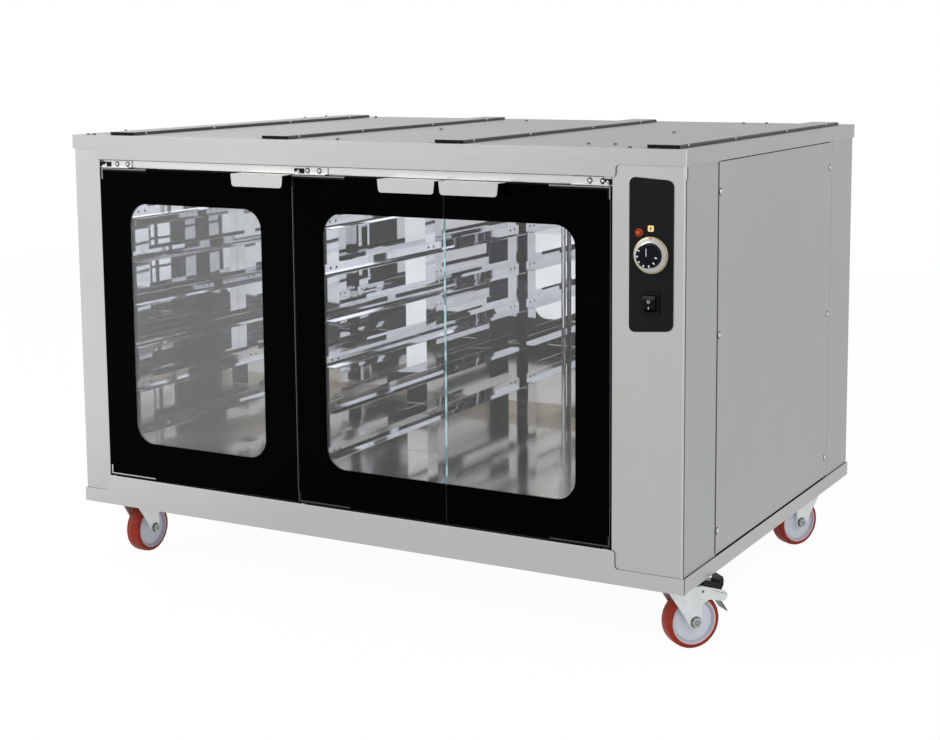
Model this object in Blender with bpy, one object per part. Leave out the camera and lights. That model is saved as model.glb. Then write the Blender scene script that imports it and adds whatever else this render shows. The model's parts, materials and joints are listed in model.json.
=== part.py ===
"""Proofing cabinet on casters: two heated bays, three glass doors, tray racks and a control column.

Metres, +Z up. The origin is on the floor under the middle of the cabinet. +X is its width, and the doors
face -Y.
"""
import math

import bmesh
import bpy
from mathutils import Matrix, Vector
from mathutils.geometry import tessellate_polygon

# Overall sizes
BODY_WIDTH = 1.300
BODY_DEPTH = 0.910
BODY_HEIGHT = 0.740
CASTER_HEIGHT = 0.128

# Sheet metal, bends and the gaps between pieces
SHEET = 0.0015
BASE_PLATE = 0.003
LINER = 0.0012
BEND_RADIUS = 0.0026
BEND_STEPS = 3
GAP = 0.0003
WELD = 0.0002
SEAM = 0.0018
CUT_OVERRUN = 0.004

# The bands round the top cap and the base frame, and the deeper fascias over and under the doors
BAND_HEIGHT = 0.027
BAND_PROUD = 0.003
CAP_FASCIA = 0.048
SILL_FASCIA = 0.059
FASCIA_SWEEP = 0.013
SWEEP_STEPS = 4
SILL_RETURN = 0.012

# The posts either side of the doors, folded from sheet
LEFT_COLUMN = 0.065
RIGHT_COLUMN = 0.133
JAMB_DEPTH = 0.0427
LEFT_COLUMN_RETURN = 0.058
RIGHT_COLUMN_RETURN = 0.145
PANEL_FLANGE = 0.016
CORNER_RETURN = 0.024
REAR_PANEL_WIDTH = 0.133
SERVICE_PANEL_GAP_LOW = 0.004
SERVICE_PANEL_GAP_HIGH = 0.002

# The warm chamber inside
RIGHT_WALL_RECESS = 0.0145
BACK_VOID = 0.044
LINER_FLANGE = 0.012
FLOOR_STEP = 0.007
PAN_FRONT_LIP = 0.010
PAN_LIP = 0.029

# The header behind the doors' top edge, which carries the upper hinges
HEADER_SETBACK = 0.0125
HEADER_TOP_GAP = 0.005
DOOR_HEAD_GAP = 0.0157
HINGE_LIFT = 0.001

# The hinges
COLLAR_HEIGHT = 0.001
COLLAR_RADIUS = 0.006
PIVOT_RADIUS = 0.003
PIVOT_PLAY = 0.0003
PIVOT_LENGTH = 0.005
PIVOT_INSET = 0.0095
BRACKET_LENGTH = 0.070
BRACKET_OFFSET = 0.003
BRACKET_HEIGHT = 0.0135
BRACKET_SHEET = 0.002
BRACKET_FRONT = 0.0005
BOLT_HEAD_RADIUS = 0.005
BOLT_HEAD_HEIGHT = 0.0035
PIN_SIDES = 16

# The doors
GLASS = 0.006
DOOR_SIDE_GAP = 0.002
DOOR_GAP = 0.002
DOOR_WIDTH_SHARES = (0.4168, 0.2916, 0.2916)
WINDOW_SIDE_LEFT_DOOR = 0.072
WINDOW_SIDE_PAIR = 0.066
WINDOW_TOP = 0.066
WINDOW_BOTTOM = 0.072
WINDOW_RADIUS = 0.039
WINDOW_STEPS = 6

# The metal clips that hold the glass at its hinge corners
CLIP_LENGTH = 0.115
CLIP_WIDTH = 0.006
CLIP_DROP = 0.022
CLIP_BLOCK = 0.020
CLIP_SHEET = 0.0012
CLIP_WEB = 0.0015

# The folded finger lips on the doors' top edge
HANDLE_WIDTH = 0.117
HANDLE_TAPER = 0.0025
HANDLE_INSET = 0.003
HANDLE_REACH = 0.025
HANDLE_DROP = 0.0233
HANDLE_BACK_DROP = 0.016
HANDLE_CORNER = 0.006
HANDLE_CORNER_STEPS = 4

# The tray racks
RACK_STANDOFF = 0.0213
POST_WIDTH = 0.040
POST_INSET = 0.030
SLIDE_FRONT = 0.068
SLIDE_BACK = 0.018
SLIDE_LEDGE = 0.021
SLIDE_RISE = 0.019
SLIDE_FIRST = 0.135
SLIDE_PITCH = 0.0875
SLIDE_HEADROOM = 0.060
PARTITION_WIDTH = 0.049
POSTS_PER_RACK = 3

# The upright rod that stops the trays of the right bay
STOP_ROD_RADIUS = 0.005
STOP_ROD_OFFSET = 0.137
STOP_ROD_BACK = 0.014
STOP_ROD_SIDES = 12
STOP_CLIP_HEIGHT = 0.314
STOP_CLIP_SIZE = 0.014

# The rails on the cap that the oven stands on
RAIL_WIDTH = 0.057
RAIL_HEIGHT = 0.006
RAIL_FRONT_INSET = 0.020
RAIL_BACK_INSET = 0.040
RAIL_PLACE_SHARES = (0.0846, 0.3654, 0.6515, 0.9615)

# The control plate and what it carries
CONTROL_INSET = 0.063
PLATE_WIDTH = 0.078
PLATE_DROP = 0.046
PLATE_FOOT = 0.051
PLATE_THICKNESS = 0.002
PLATE_CORNER = 0.011
PLATE_CORNER_STEPS = 5
THERMOSTAT_DROP = 0.128
RING_RADIUS = 0.03075
RING_DEPTH = 0.0035
RING_SIDES = 40
KNOB_RADIUS = 0.0196
KNOB_PLAY = 0.0007
KNOB_DEPTH = 0.018
KNOB_CHAMFER = 0.0012
KNOB_SIDES = 40
SHAFT_RADIUS = 0.003
SHAFT_LENGTH = 0.016
BUSH_RADIUS = 0.006
THERMOSTAT_SIDE = 0.042
THERMOSTAT_DEPTH = 0.034
LAMP_OFFSET_X = -0.021
LAMP_OFFSET_Z = 0.0365
LAMP_RADIUS = 0.007
LAMP_DOME = 0.0045
LAMP_STEM_RADIUS = 0.005
LAMP_STEM_LENGTH = 0.022
LAMP_SIDES = 20
LAMP_DOME_STEPS = 4

# The rocker switch
SWITCH_DROP = 0.079
BEZEL_WIDTH = 0.0315
BEZEL_HEIGHT = 0.037
BEZEL_DEPTH = 0.0026
BEZEL_CORNER = 0.002
SWITCH_BODY_WIDTH = 0.0265
SWITCH_BODY_HEIGHT = 0.0315
SWITCH_BODY_DEPTH = 0.024
ROCKER_WIDTH = 0.0215
ROCKER_HEIGHT = 0.0265
ROCKER_END_PLAY = 0.0008
ROCKER_PROUD = 0.0035
ROCKER_BEVEL = 0.005
ROCKER_BACK = 0.006
ROCKER_BACK_TAPER = 0.0025
ROCKER_TILT = math.radians(8.0)
POCKET_DEPTH = 0.0125

# The tubular heater under the floor pan
HEATER_TUBE = 0.004
HEATER_LEG_SPACING = 0.120
HEATER_HEIGHT = 0.032
HEATER_END_INSET = 0.170
HEATER_TERMINAL = 0.030
HEATER_BRACKET = 0.002
HEATER_BRACKET_MARGIN = 0.018
HEATER_BRACKET_PLACE = 0.110
HEATER_ROUND_STEPS = 2
HEATER_BEND_STEPS = 10

# The cable gland at the back, low on the control side
GLAND_INSET = 0.095
GLAND_HEIGHT = 0.100
GLAND_THREAD_RADIUS = 0.010
GLAND_NUT_RADIUS = 0.0145
GLAND_NUT_DEPTH = 0.007
GLAND_DOME_RADIUS = 0.0125
GLAND_LENGTH = 0.025
GLAND_BORE = 0.006
GLAND_INSIDE = 0.010
GLAND_SIDES = 24

# The casters, modelled in a frame whose X runs from the swivel towards the trailing wheel
CASTER_SIDE_INSET = 0.056
CASTER_FRONT_INSET = 0.085
CASTER_BACK_INSET = 0.095
CASTER_PLATE_X = 0.085
CASTER_PLATE_Y = 0.105
CASTER_PLATE = 0.003
CASTER_PLATE_CORNER = 0.009
RACE_RADIUS = 0.030
RACE_DROP = 0.006
RACE_CHAMFER = 0.003
LOWER_RACE_RADIUS = 0.0265
CROWN = 0.003
CROWN_GAP = 0.0057
KINGPIN_RADIUS = 0.005
KINGPIN_HEAD_RADIUS = 0.009
KINGPIN_HEAD = 0.003
RACE_SIDES = 24
WHEEL_RADIUS = 0.050
TRAIL = 0.035
FORK_INNER = 0.0190
FORK_SHEET = 0.003
FORK_TOP_BACK = 0.020
FORK_LEG_RADIUS = 0.012
FORK_ARC_STEPS = 7
AXLE_RADIUS = 0.006
AXLE_HEAD_RADIUS = 0.009
AXLE_HEAD = 0.005
HEX_SIDES = 6
TYRE_WIDTH = 0.032
TYRE_THICKNESS = 0.009
TYRE_SHOULDER = 0.004
HUB_WIDTH = 0.036
HUB_BOSS_RADIUS = 0.013
HUB_DISH = 0.006
HUB_RIM = 0.004
WHEEL_SIDES = 28
FRONT_RIGHT_HEADING = math.radians(49.8)
FRONT_LEFT_HEADING = math.radians(90.0)
REAR_RIGHT_HEADING = math.radians(241.0)
HALF_TURN = math.radians(180.0)

# The foot brake of two casters: the arm of the fork and the rocking pedal between its cheeks
ARM_REACH = 0.061
ARM_END_RADIUS = 0.0095
ARM_TOP_FALL = 0.012
ARM_THROAT_RADIUS = 0.0155
ARM_THROAT_HEIGHT = 0.0715
ARM_WEB = 0.003
PEDAL_PIVOT_X = 0.068
PEDAL_PIVOT_Z = 0.0985
PEDAL_PIN_RADIUS = 0.0025
PEDAL_HALF_WIDTH = 0.0150
PEDAL_LENGTH = 0.050
PEDAL_HEIGHT = 0.050
PEDAL_OUTLINE_SHARES = (
    (-0.36, 0.30), (-0.21, 0.44), (0.24, 0.28), (0.32, 0.29), (0.36, 0.41), (0.38, 0.49), (0.44, 0.49),
    (0.48, 0.37), (0.47, 0.18), (0.41, 0.06), (0.37, 0.00), (0.38, -0.36), (0.64, -0.75), (0.61, -0.77),
    (0.34, -0.37), (0.29, -0.34), (0.26, -0.27), (0.16, -0.13), (0.02, -0.10), (-0.09, -0.05), (-0.16, 0.13),
)

# Sides and finish of round pieces
SMOOTH_ANGLE = math.radians(35.0)
MERGE = 0.000001

# Places worked out from the sizes above
FRONT = -BODY_DEPTH / 2
BACK = BODY_DEPTH / 2
LEFT = -BODY_WIDTH / 2
RIGHT = BODY_WIDTH / 2
BASE = CASTER_HEIGHT
TOP = CASTER_HEIGHT + BODY_HEIGHT
FACE_Y = FRONT + BAND_PROUD
SIDE_LEFT = LEFT + BAND_PROUD
SIDE_RIGHT = RIGHT - BAND_PROUD
BACK_Y = BACK - BAND_PROUD
OPENING_LEFT = LEFT + LEFT_COLUMN
OPENING_RIGHT = RIGHT - RIGHT_COLUMN
OPENING_BOTTOM = BASE + SILL_FASCIA
OPENING_TOP = TOP - CAP_FASCIA
PANEL_BOTTOM = BASE + BASE_PLATE + GAP
PANEL_TOP = TOP - SHEET - GAP
CHAMBER_FRONT = FACE_Y + JAMB_DEPTH
CHAMBER_LEFT = OPENING_LEFT + LINER
CHAMBER_RIGHT = OPENING_RIGHT + RIGHT_WALL_RECESS
CHAMBER_BACK = BACK - BACK_VOID
HEADER_Y = FRONT + HEADER_SETBACK
DOOR_TOP = OPENING_TOP - DOOR_HEAD_GAP
DOOR_BOTTOM = OPENING_BOTTOM + COLLAR_HEIGHT + GAP
HEADER_BOTTOM = DOOR_TOP + HINGE_LIFT
CHAMBER_TOP = HEADER_BOTTOM
FLOOR_TOP = OPENING_BOTTOM + FLOOR_STEP
GLASS_FRONT = FACE_Y
GLASS_BACK = FACE_Y + GLASS
PIVOT_Y = FACE_Y + GLASS / 2
CONTROL_X = RIGHT - CONTROL_INSET
PLATE_TOP = TOP - PLATE_DROP
THERMOSTAT_Z = PLATE_TOP - THERMOSTAT_DROP
SWITCH_Z = THERMOSTAT_Z - SWITCH_DROP
PLATE_BOTTOM = SWITCH_Z - PLATE_FOOT
PLATE_BACK = FACE_Y - GAP
PLATE_FRONT = PLATE_BACK - PLATE_THICKNESS
CONTROL_BACK = PLATE_FRONT - GAP
CLIP_WRAP = CLIP_WEB + GAP
RING_BORE = KNOB_RADIUS + KNOB_PLAY
FLANGE_STEP = SHEET + GAP


def clear_scene():
    """Removes every object, so the script can run again in an open file."""
    for item in list(bpy.data.objects):
        bpy.data.objects.remove(item, do_unlink=True)


def make_material(name, colour, roughness, metallic, clear=0.0):
    """A Principled material; clear is its transmission weight."""
    result = bpy.data.materials.new(name)
    result.use_nodes = True
    shader = result.node_tree.nodes["Principled BSDF"]
    shader.inputs["Base Color"].default_value = (*colour, 1.0)
    shader.inputs["Roughness"].default_value = roughness
    shader.inputs["Metallic"].default_value = metallic
    shader.inputs["Transmission Weight"].default_value = clear
    result.diffuse_color = (*colour, 1.0)
    result.roughness = roughness
    result.metallic = metallic
    return result


def make_materials():
    """The finishes of the cabinet, by name."""
    return {
        "satin_steel": make_material("satin_steel", (0.56, 0.55, 0.54), 0.38, 1.0),
        "side_steel": make_material("side_steel", (0.44, 0.43, 0.42), 0.42, 1.0),
        "liner_steel": make_material("liner_steel", (0.66, 0.67, 0.69), 0.16, 1.0),
        "rail_steel": make_material("rail_steel", (0.30, 0.30, 0.30), 0.35, 1.0),
        "black_enamel": make_material("black_enamel", (0.006, 0.006, 0.007), 0.06, 0.0),
        "clear_glass": make_material("clear_glass", (0.93, 0.97, 0.96), 0.02, 0.0, 1.0),
        "zinc": make_material("zinc", (0.68, 0.71, 0.72), 0.30, 1.0),
        "red_tyre": make_material("red_tyre", (0.40, 0.030, 0.014), 0.34, 0.0),
        "white_nylon": make_material("white_nylon", (0.74, 0.76, 0.80), 0.35, 0.0),
        "black_plastic": make_material("black_plastic", (0.016, 0.017, 0.018), 0.42, 0.0),
        "pedal_coat": make_material("pedal_coat", (0.020, 0.030, 0.028), 0.35, 0.4),
        "red_lens": make_material("red_lens", (0.70, 0.045, 0.02), 0.12, 0.0),
        "ring_metal": make_material("ring_metal", (0.76, 0.72, 0.60), 0.22, 1.0),
        "heater_sheath": make_material("heater_sheath", (0.30, 0.28, 0.26), 0.45, 1.0),
        "grey_plastic": make_material("grey_plastic", (0.10, 0.10, 0.11), 0.5, 0.0),
    }


def to_space(axis, along, first, second):
    """A point from its place along an axis and its two places in the plane across it."""
    if axis == "X":
        return Vector((along, first, second))
    if axis == "Y":
        return Vector((first, along, second))
    return Vector((first, second, along))


def mesh_from(shape, name="shape"):
    """Closes a bmesh into mesh data whose faces point outwards."""
    bmesh.ops.remove_doubles(shape, verts=shape.verts, dist=MERGE)
    bmesh.ops.recalc_face_normals(shape, faces=shape.faces)
    result = bpy.data.meshes.new(name)
    shape.to_mesh(result)
    shape.free()
    return result


def prism(outline, axis, low, high):
    """An outline, given in the plane across the axis, extruded from low to high."""
    shape = bmesh.new()
    near = [shape.verts.new(to_space(axis, low, a, b)) for a, b in outline]
    far = [shape.verts.new(to_space(axis, high, a, b)) for a, b in outline]
    shape.faces.new(near)
    shape.faces.new(far)
    count = len(outline)
    for i in range(count):
        j = (i + 1) % count
        shape.faces.new((near[i], near[j], far[j], far[i]))
    return mesh_from(shape)


def box(left, right, front, back, bottom, top):
    """A plain block between its six faces."""
    return prism([(left, front), (right, front), (right, back), (left, back)], "Z", bottom, top)


def arc(centre, radius, start, end, steps):
    """Points on an arc of a circle, both ends included."""
    points = []
    for i in range(steps + 1):
        angle = start + (end - start) * i / steps
        points.append((centre[0] + radius * math.cos(angle), centre[1] + radius * math.sin(angle)))
    return points


def rounded(points, radius, steps, closed=True):
    """The path with its corners turned into arcs, each no larger than its sides allow."""
    result = []
    count = len(points)
    for i, corner in enumerate(points):
        if not closed and i in (0, count - 1):
            result.append(corner)
            continue
        here = Vector(corner)
        to_last = Vector(points[i - 1]) - here
        to_next = Vector(points[(i + 1) % count]) - here
        half_angle = to_last.angle(to_next) / 2
        reach = min(radius / math.tan(half_angle), to_last.length / 2, to_next.length / 2)
        true_radius = reach * math.tan(half_angle)
        first = here + to_last.normalized() * reach
        last = here + to_next.normalized() * reach
        bisector = (to_last.normalized() + to_next.normalized()).normalized()
        centre = here + bisector * (true_radius / math.sin(half_angle))
        start = math.atan2(first.y - centre.y, first.x - centre.x)
        sweep = math.atan2(last.y - centre.y, last.x - centre.x) - start
        sweep = (sweep + math.pi) % (2 * math.pi) - math.pi
        result += arc(centre, true_radius, start, start + sweep, steps)
    return result


def folded(path, thickness):
    """The outline of a sheet whose one face follows the path, with its thickness to the right of the way."""
    points = [Vector(point) for point in path]
    normals = []
    for start, end in zip(points, points[1:]):
        way = (end - start).normalized()
        normals.append(Vector((way.y, -way.x)))
    other = []
    for i, point in enumerate(points):
        before = normals[max(i - 1, 0)]
        after = normals[min(i, len(normals) - 1)]
        mitre = (before + after).normalized()
        other.append(point + mitre * (thickness / mitre.dot(after)))
    return [tuple(point) for point in points] + [tuple(point) for point in reversed(other)]


def bent(path, thickness):
    """The outline of a folded sheet whose bends are rounded."""
    return folded(rounded(path, BEND_RADIUS, BEND_STEPS, closed=False), thickness)


def revolve(profile, sides, axis="Z", centre=(0.0, 0.0, 0.0)):
    """A closed profile of (radius, place along the axis) turned about the axis through the centre."""
    shape = bmesh.new()
    rings = []
    for radius, along in profile:
        if radius <= 0.0:
            rings.append([shape.verts.new(to_space("Z", along, 0.0, 0.0))] * sides)
            continue
        ring = []
        for i in range(sides):
            angle = 2 * math.pi * i / sides
            ring.append(shape.verts.new((radius * math.cos(angle), radius * math.sin(angle), along)))
        rings.append(ring)
    count = len(rings)
    for i in range(count):
        first, second = rings[i], rings[(i + 1) % count]
        if first[0] is first[1] and second[0] is second[1]:
            continue
        for j in range(sides):
            k = (j + 1) % sides
            corners = []
            for vert in (first[j], first[k], second[k], second[j]):
                if vert not in corners:
                    corners.append(vert)
            shape.faces.new(corners)
    turn = {"X": Matrix.Rotation(math.pi / 2, 4, "Y"), "Y": Matrix.Rotation(-math.pi / 2, 4, "X")}
    placed = Matrix.Translation(centre) @ turn.get(axis, Matrix.Identity(4))
    bmesh.ops.transform(shape, matrix=placed, verts=shape.verts)
    return mesh_from(shape)


def rod(radius, low, high, sides, axis="Z", centre=(0.0, 0.0, 0.0)):
    """A round bar along an axis."""
    return revolve([(0.0, low), (radius, low), (radius, high), (0.0, high)], sides, axis, centre)


def combine(target, tools, operation):
    """The target joined with, or cut by, each tool in turn."""
    made = [bpy.data.objects.new("work", target)]
    made += [bpy.data.objects.new("tool", tool) for tool in tools]
    for item in made:
        bpy.context.scene.collection.objects.link(item)
    for tool in made[1:]:
        step = made[0].modifiers.new("step", "BOOLEAN")
        step.operation = operation
        step.solver = "EXACT"
        step.object = tool
    graph = bpy.context.evaluated_depsgraph_get()
    result = bpy.data.meshes.new_from_object(made[0].evaluated_get(graph))
    for item in made:
        data = item.data
        bpy.data.objects.remove(item, do_unlink=True)
        bpy.data.meshes.remove(data)
    return result


def join(target, tools):
    """Welds pieces that run into each other into one body."""
    return combine(target, tools, "UNION")


def cut(target, tools):
    """Takes the tools' space out of the target."""
    return combine(target, tools, "DIFFERENCE")


def moved(mesh, offset):
    """The mesh shifted by an offset."""
    mesh.transform(Matrix.Translation(offset))
    return mesh


def add_object(name, mesh, finishes, origin=(0.0, 0.0, 0.0), parent=None, smooth=False):
    """An object of the mesh, with its origin at the given point of the mesh's own frame."""
    mesh.name = name
    mesh.transform(Matrix.Translation(-Vector(origin)))
    mesh.materials.clear()
    for finish in finishes:
        mesh.materials.append(finish)
    if smooth:
        mesh.shade_smooth()
        mesh.set_sharp_from_angle(angle=SMOOTH_ANGLE)
    result = bpy.data.objects.new(name, mesh)
    result.location = origin
    result.parent = parent
    bpy.context.scene.collection.objects.link(result)
    return result


def add_copy(name, source, parent):
    """Another object of the same mesh in another place."""
    result = bpy.data.objects.new(name, source.data)
    result.location = source.location
    result.parent = parent
    bpy.context.scene.collection.objects.link(result)
    return result


def add_empty(name, location, heading=0.0):
    """An empty that carries pieces, turned about the vertical."""
    result = bpy.data.objects.new(name, None)
    result.location = location
    result.rotation_euler = (0.0, 0.0, heading)
    bpy.context.scene.collection.objects.link(result)
    return result


def sweep_down(x_start, x_end, z_start, z_end):
    """The S curve by which a fascia narrows to its band: two quarter turns with an upright between them."""
    reach = (x_end - x_start) / 2
    middle = x_start + reach
    corners = [(x_start - reach, z_start), (middle, z_start), (middle, z_end), (x_end + reach, z_end)]
    return rounded(corners, reach, SWEEP_STEPS, closed=False)[1:-1]


def fascia(band_edge, deep_edge, inner):
    """The front of a band, which deepens between the posts. Its outline lies across Y."""
    outline = sweep_down(OPENING_LEFT - FASCIA_SWEEP, OPENING_LEFT, band_edge, deep_edge)
    outline += sweep_down(OPENING_RIGHT, OPENING_RIGHT + FASCIA_SWEEP, deep_edge, band_edge)
    outline += [(OPENING_RIGHT + FASCIA_SWEEP, inner), (OPENING_LEFT - FASCIA_SWEEP, inner)]
    return prism(outline, "Y", FRONT, FRONT + SHEET)


def door_places():
    """Each door's name, its hinge edge, its free edge and which way the free edge lies."""
    start = OPENING_LEFT + DOOR_SIDE_GAP
    room = OPENING_RIGHT - DOOR_SIDE_GAP - start - 2 * DOOR_GAP
    left, middle, right = (room * share for share in DOOR_WIDTH_SHARES)
    left_end = start + left
    pair_start = left_end + DOOR_GAP
    pair_end = OPENING_RIGHT - DOOR_SIDE_GAP
    return (
        ("left", start, left_end, 1.0),
        ("middle", pair_start, pair_start + middle, 1.0),
        ("right", pair_end, pair_end - right, -1.0),
    )


def partition_x():
    """The middle of the rack between the bays, behind the gap between the left and the middle door."""
    _, _, free_edge, _ = door_places()[0]
    return free_edge + DOOR_GAP / 2


def pivot_x(hinge_edge, way):
    """The place of a door's pivot, inside its hinge edge."""
    return hinge_edge + way * PIVOT_INSET


def build_base_frame(finish):
    """The tray at the bottom: plate, band, fascia with its folded sill, and the lower hinge pins."""
    tray = box(LEFT, RIGHT, FRONT, BACK, BASE, BASE + BAND_HEIGHT)
    hollow = box(LEFT + SHEET, RIGHT - SHEET, FRONT + SHEET, BACK - SHEET,
                 BASE + BASE_PLATE, BASE + BAND_HEIGHT + CUT_OVERRUN)
    tray = cut(tray, [hollow])
    front = fascia(BASE + BAND_HEIGHT, OPENING_BOTTOM, BASE + BASE_PLATE / 2)
    sill_path = [
        (FRONT + SHEET - WELD, OPENING_BOTTOM),
        (CHAMBER_FRONT, OPENING_BOTTOM),
        (CHAMBER_FRONT, OPENING_BOTTOM - SILL_RETURN),
    ]
    sill = prism(folded(sill_path, SHEET), "X", OPENING_LEFT + GAP, OPENING_RIGHT - GAP)
    extras = [front, sill]
    for _, hinge_edge, _, way in door_places():
        centre = (pivot_x(hinge_edge, way), PIVOT_Y, OPENING_BOTTOM)
        steps = [
            (0.0, -WELD), (COLLAR_RADIUS, -WELD), (COLLAR_RADIUS, COLLAR_HEIGHT),
            (PIVOT_RADIUS, COLLAR_HEIGHT), (PIVOT_RADIUS, COLLAR_HEIGHT + GAP + PIVOT_LENGTH),
            (0.0, COLLAR_HEIGHT + GAP + PIVOT_LENGTH),
        ]
        extras.append(revolve(steps, PIN_SIDES, "Z", centre))
    return add_object("base_frame", join(tray, extras), [finish])


def build_top_cap(finish):
    """The lid: top sheet, band all round, and the deeper fascia with its return towards the header."""
    lid = box(LEFT, RIGHT, FRONT, BACK, TOP - BAND_HEIGHT, TOP)
    hollow = box(LEFT + SHEET, RIGHT - SHEET, FRONT + SHEET, BACK - SHEET,
                 TOP - BAND_HEIGHT - CUT_OVERRUN, TOP - SHEET)
    lid = cut(lid, [hollow])
    front = fascia(TOP - BAND_HEIGHT, OPENING_TOP, TOP - SHEET / 2)
    ledge = box(OPENING_LEFT + GAP, OPENING_RIGHT - GAP, FRONT + SHEET - WELD, HEADER_Y - GAP,
                OPENING_TOP, OPENING_TOP + SHEET)
    return add_object("top_cap", join(lid, [front, ledge]), [finish])


def build_columns(finish):
    """The two folded posts beside the doors; the right one is wide and holds the controls."""
    left_path = [
        (OPENING_LEFT, CHAMBER_FRONT),
        (OPENING_LEFT, FACE_Y),
        (SIDE_LEFT, FACE_Y),
        (SIDE_LEFT, FACE_Y + LEFT_COLUMN_RETURN),
        (SIDE_LEFT + FLANGE_STEP, FACE_Y + LEFT_COLUMN_RETURN),
        (SIDE_LEFT + FLANGE_STEP, FACE_Y + LEFT_COLUMN_RETURN + PANEL_FLANGE),
    ]
    left = prism(folded(left_path, SHEET), "Z", PANEL_BOTTOM, PANEL_TOP)
    add_object("left_column", left, [finish])
    right_path = [
        (CHAMBER_RIGHT - GAP, CHAMBER_FRONT),
        (OPENING_RIGHT, CHAMBER_FRONT),
        (OPENING_RIGHT, FACE_Y),
        (SIDE_RIGHT, FACE_Y),
        (SIDE_RIGHT, FACE_Y + RIGHT_COLUMN_RETURN),
        (SIDE_RIGHT - FLANGE_STEP, FACE_Y + RIGHT_COLUMN_RETURN),
        (SIDE_RIGHT - FLANGE_STEP, FACE_Y + RIGHT_COLUMN_RETURN + PANEL_FLANGE),
    ]
    right = prism(folded(right_path, -SHEET), "Z", PANEL_BOTTOM, PANEL_TOP)
    right = cut(right, control_holes(FACE_Y - CUT_OVERRUN, FACE_Y + SHEET + CUT_OVERRUN))
    add_object("right_column", right, [finish])


def control_holes(front, back):
    """Cutters for the thermostat's bush, the lamp's stem and the switch's body, with running room."""
    width = SWITCH_BODY_WIDTH + 2 * GAP
    height = SWITCH_BODY_HEIGHT + 2 * GAP
    switch = rectangle(CONTROL_X, SWITCH_Z, width, height)
    thermostat = (CONTROL_X, 0.0, THERMOSTAT_Z)
    lamp = (CONTROL_X + LAMP_OFFSET_X, 0.0, THERMOSTAT_Z + LAMP_OFFSET_Z)
    return [
        rod(BUSH_RADIUS + GAP, front, back, PIN_SIDES, "Y", thermostat),
        rod(LAMP_STEM_RADIUS + GAP, front, back, LAMP_SIDES, "Y", lamp),
        prism(switch, "Y", front, back),
    ]


def build_side_panels(front_finish, side_finish):
    """The left side sheet, the right rear sheet and the screwed service panel between it and the column."""
    left_path = [
        (SIDE_LEFT, FACE_Y + LEFT_COLUMN_RETURN + SEAM),
        (SIDE_LEFT, BACK_Y - SHEET - GAP),
        (SIDE_LEFT + CORNER_RETURN, BACK_Y - SHEET - GAP),
    ]
    left = prism(folded(left_path, SHEET), "Z", PANEL_BOTTOM, PANEL_TOP)
    add_object("left_side_panel", left, [side_finish])
    rear_start = BACK_Y - REAR_PANEL_WIDTH
    rear_path = [
        (SIDE_RIGHT - FLANGE_STEP, rear_start - PANEL_FLANGE),
        (SIDE_RIGHT - FLANGE_STEP, rear_start),
        (SIDE_RIGHT, rear_start),
        (SIDE_RIGHT, BACK_Y - SHEET - GAP),
        (SIDE_RIGHT - CORNER_RETURN, BACK_Y - SHEET - GAP),
    ]
    rear = prism(folded(rear_path, -SHEET), "Z", PANEL_BOTTOM, PANEL_TOP)
    add_object("right_rear_panel", rear, [side_finish])
    service = box(SIDE_RIGHT - SHEET, SIDE_RIGHT, FACE_Y + RIGHT_COLUMN_RETURN + SEAM, rear_start - SEAM,
                  BASE + BAND_HEIGHT + SERVICE_PANEL_GAP_LOW, TOP - BAND_HEIGHT - SERVICE_PANEL_GAP_HIGH)
    add_object("service_panel", service, [side_finish])


def build_back_panel(finish):
    """The flat back sheet, with the hole that the cable gland sits in."""
    sheet = box(SIDE_LEFT, SIDE_RIGHT, BACK_Y - SHEET, BACK_Y, PANEL_BOTTOM, PANEL_TOP)
    hole = rod(GLAND_THREAD_RADIUS + GAP, BACK_Y - SHEET - CUT_OVERRUN, BACK_Y + CUT_OVERRUN, GLAND_SIDES,
               "Y", (RIGHT - GLAND_INSET, 0.0, BASE + GLAND_HEIGHT))
    add_object("back_panel", cut(sheet, [hole]), [finish])


def build_header(finish):
    """The strip behind the doors' top edge: an angle that closes the gap between the cap and the chamber."""
    path = [
        (HEADER_Y, TOP - SHEET - HEADER_TOP_GAP),
        (HEADER_Y, HEADER_BOTTOM),
        (CHAMBER_FRONT, HEADER_BOTTOM),
    ]
    strip = prism(folded(path, -SHEET), "X", OPENING_LEFT + GAP, OPENING_RIGHT - GAP)
    add_object("hinge_header", strip, [finish])


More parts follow.
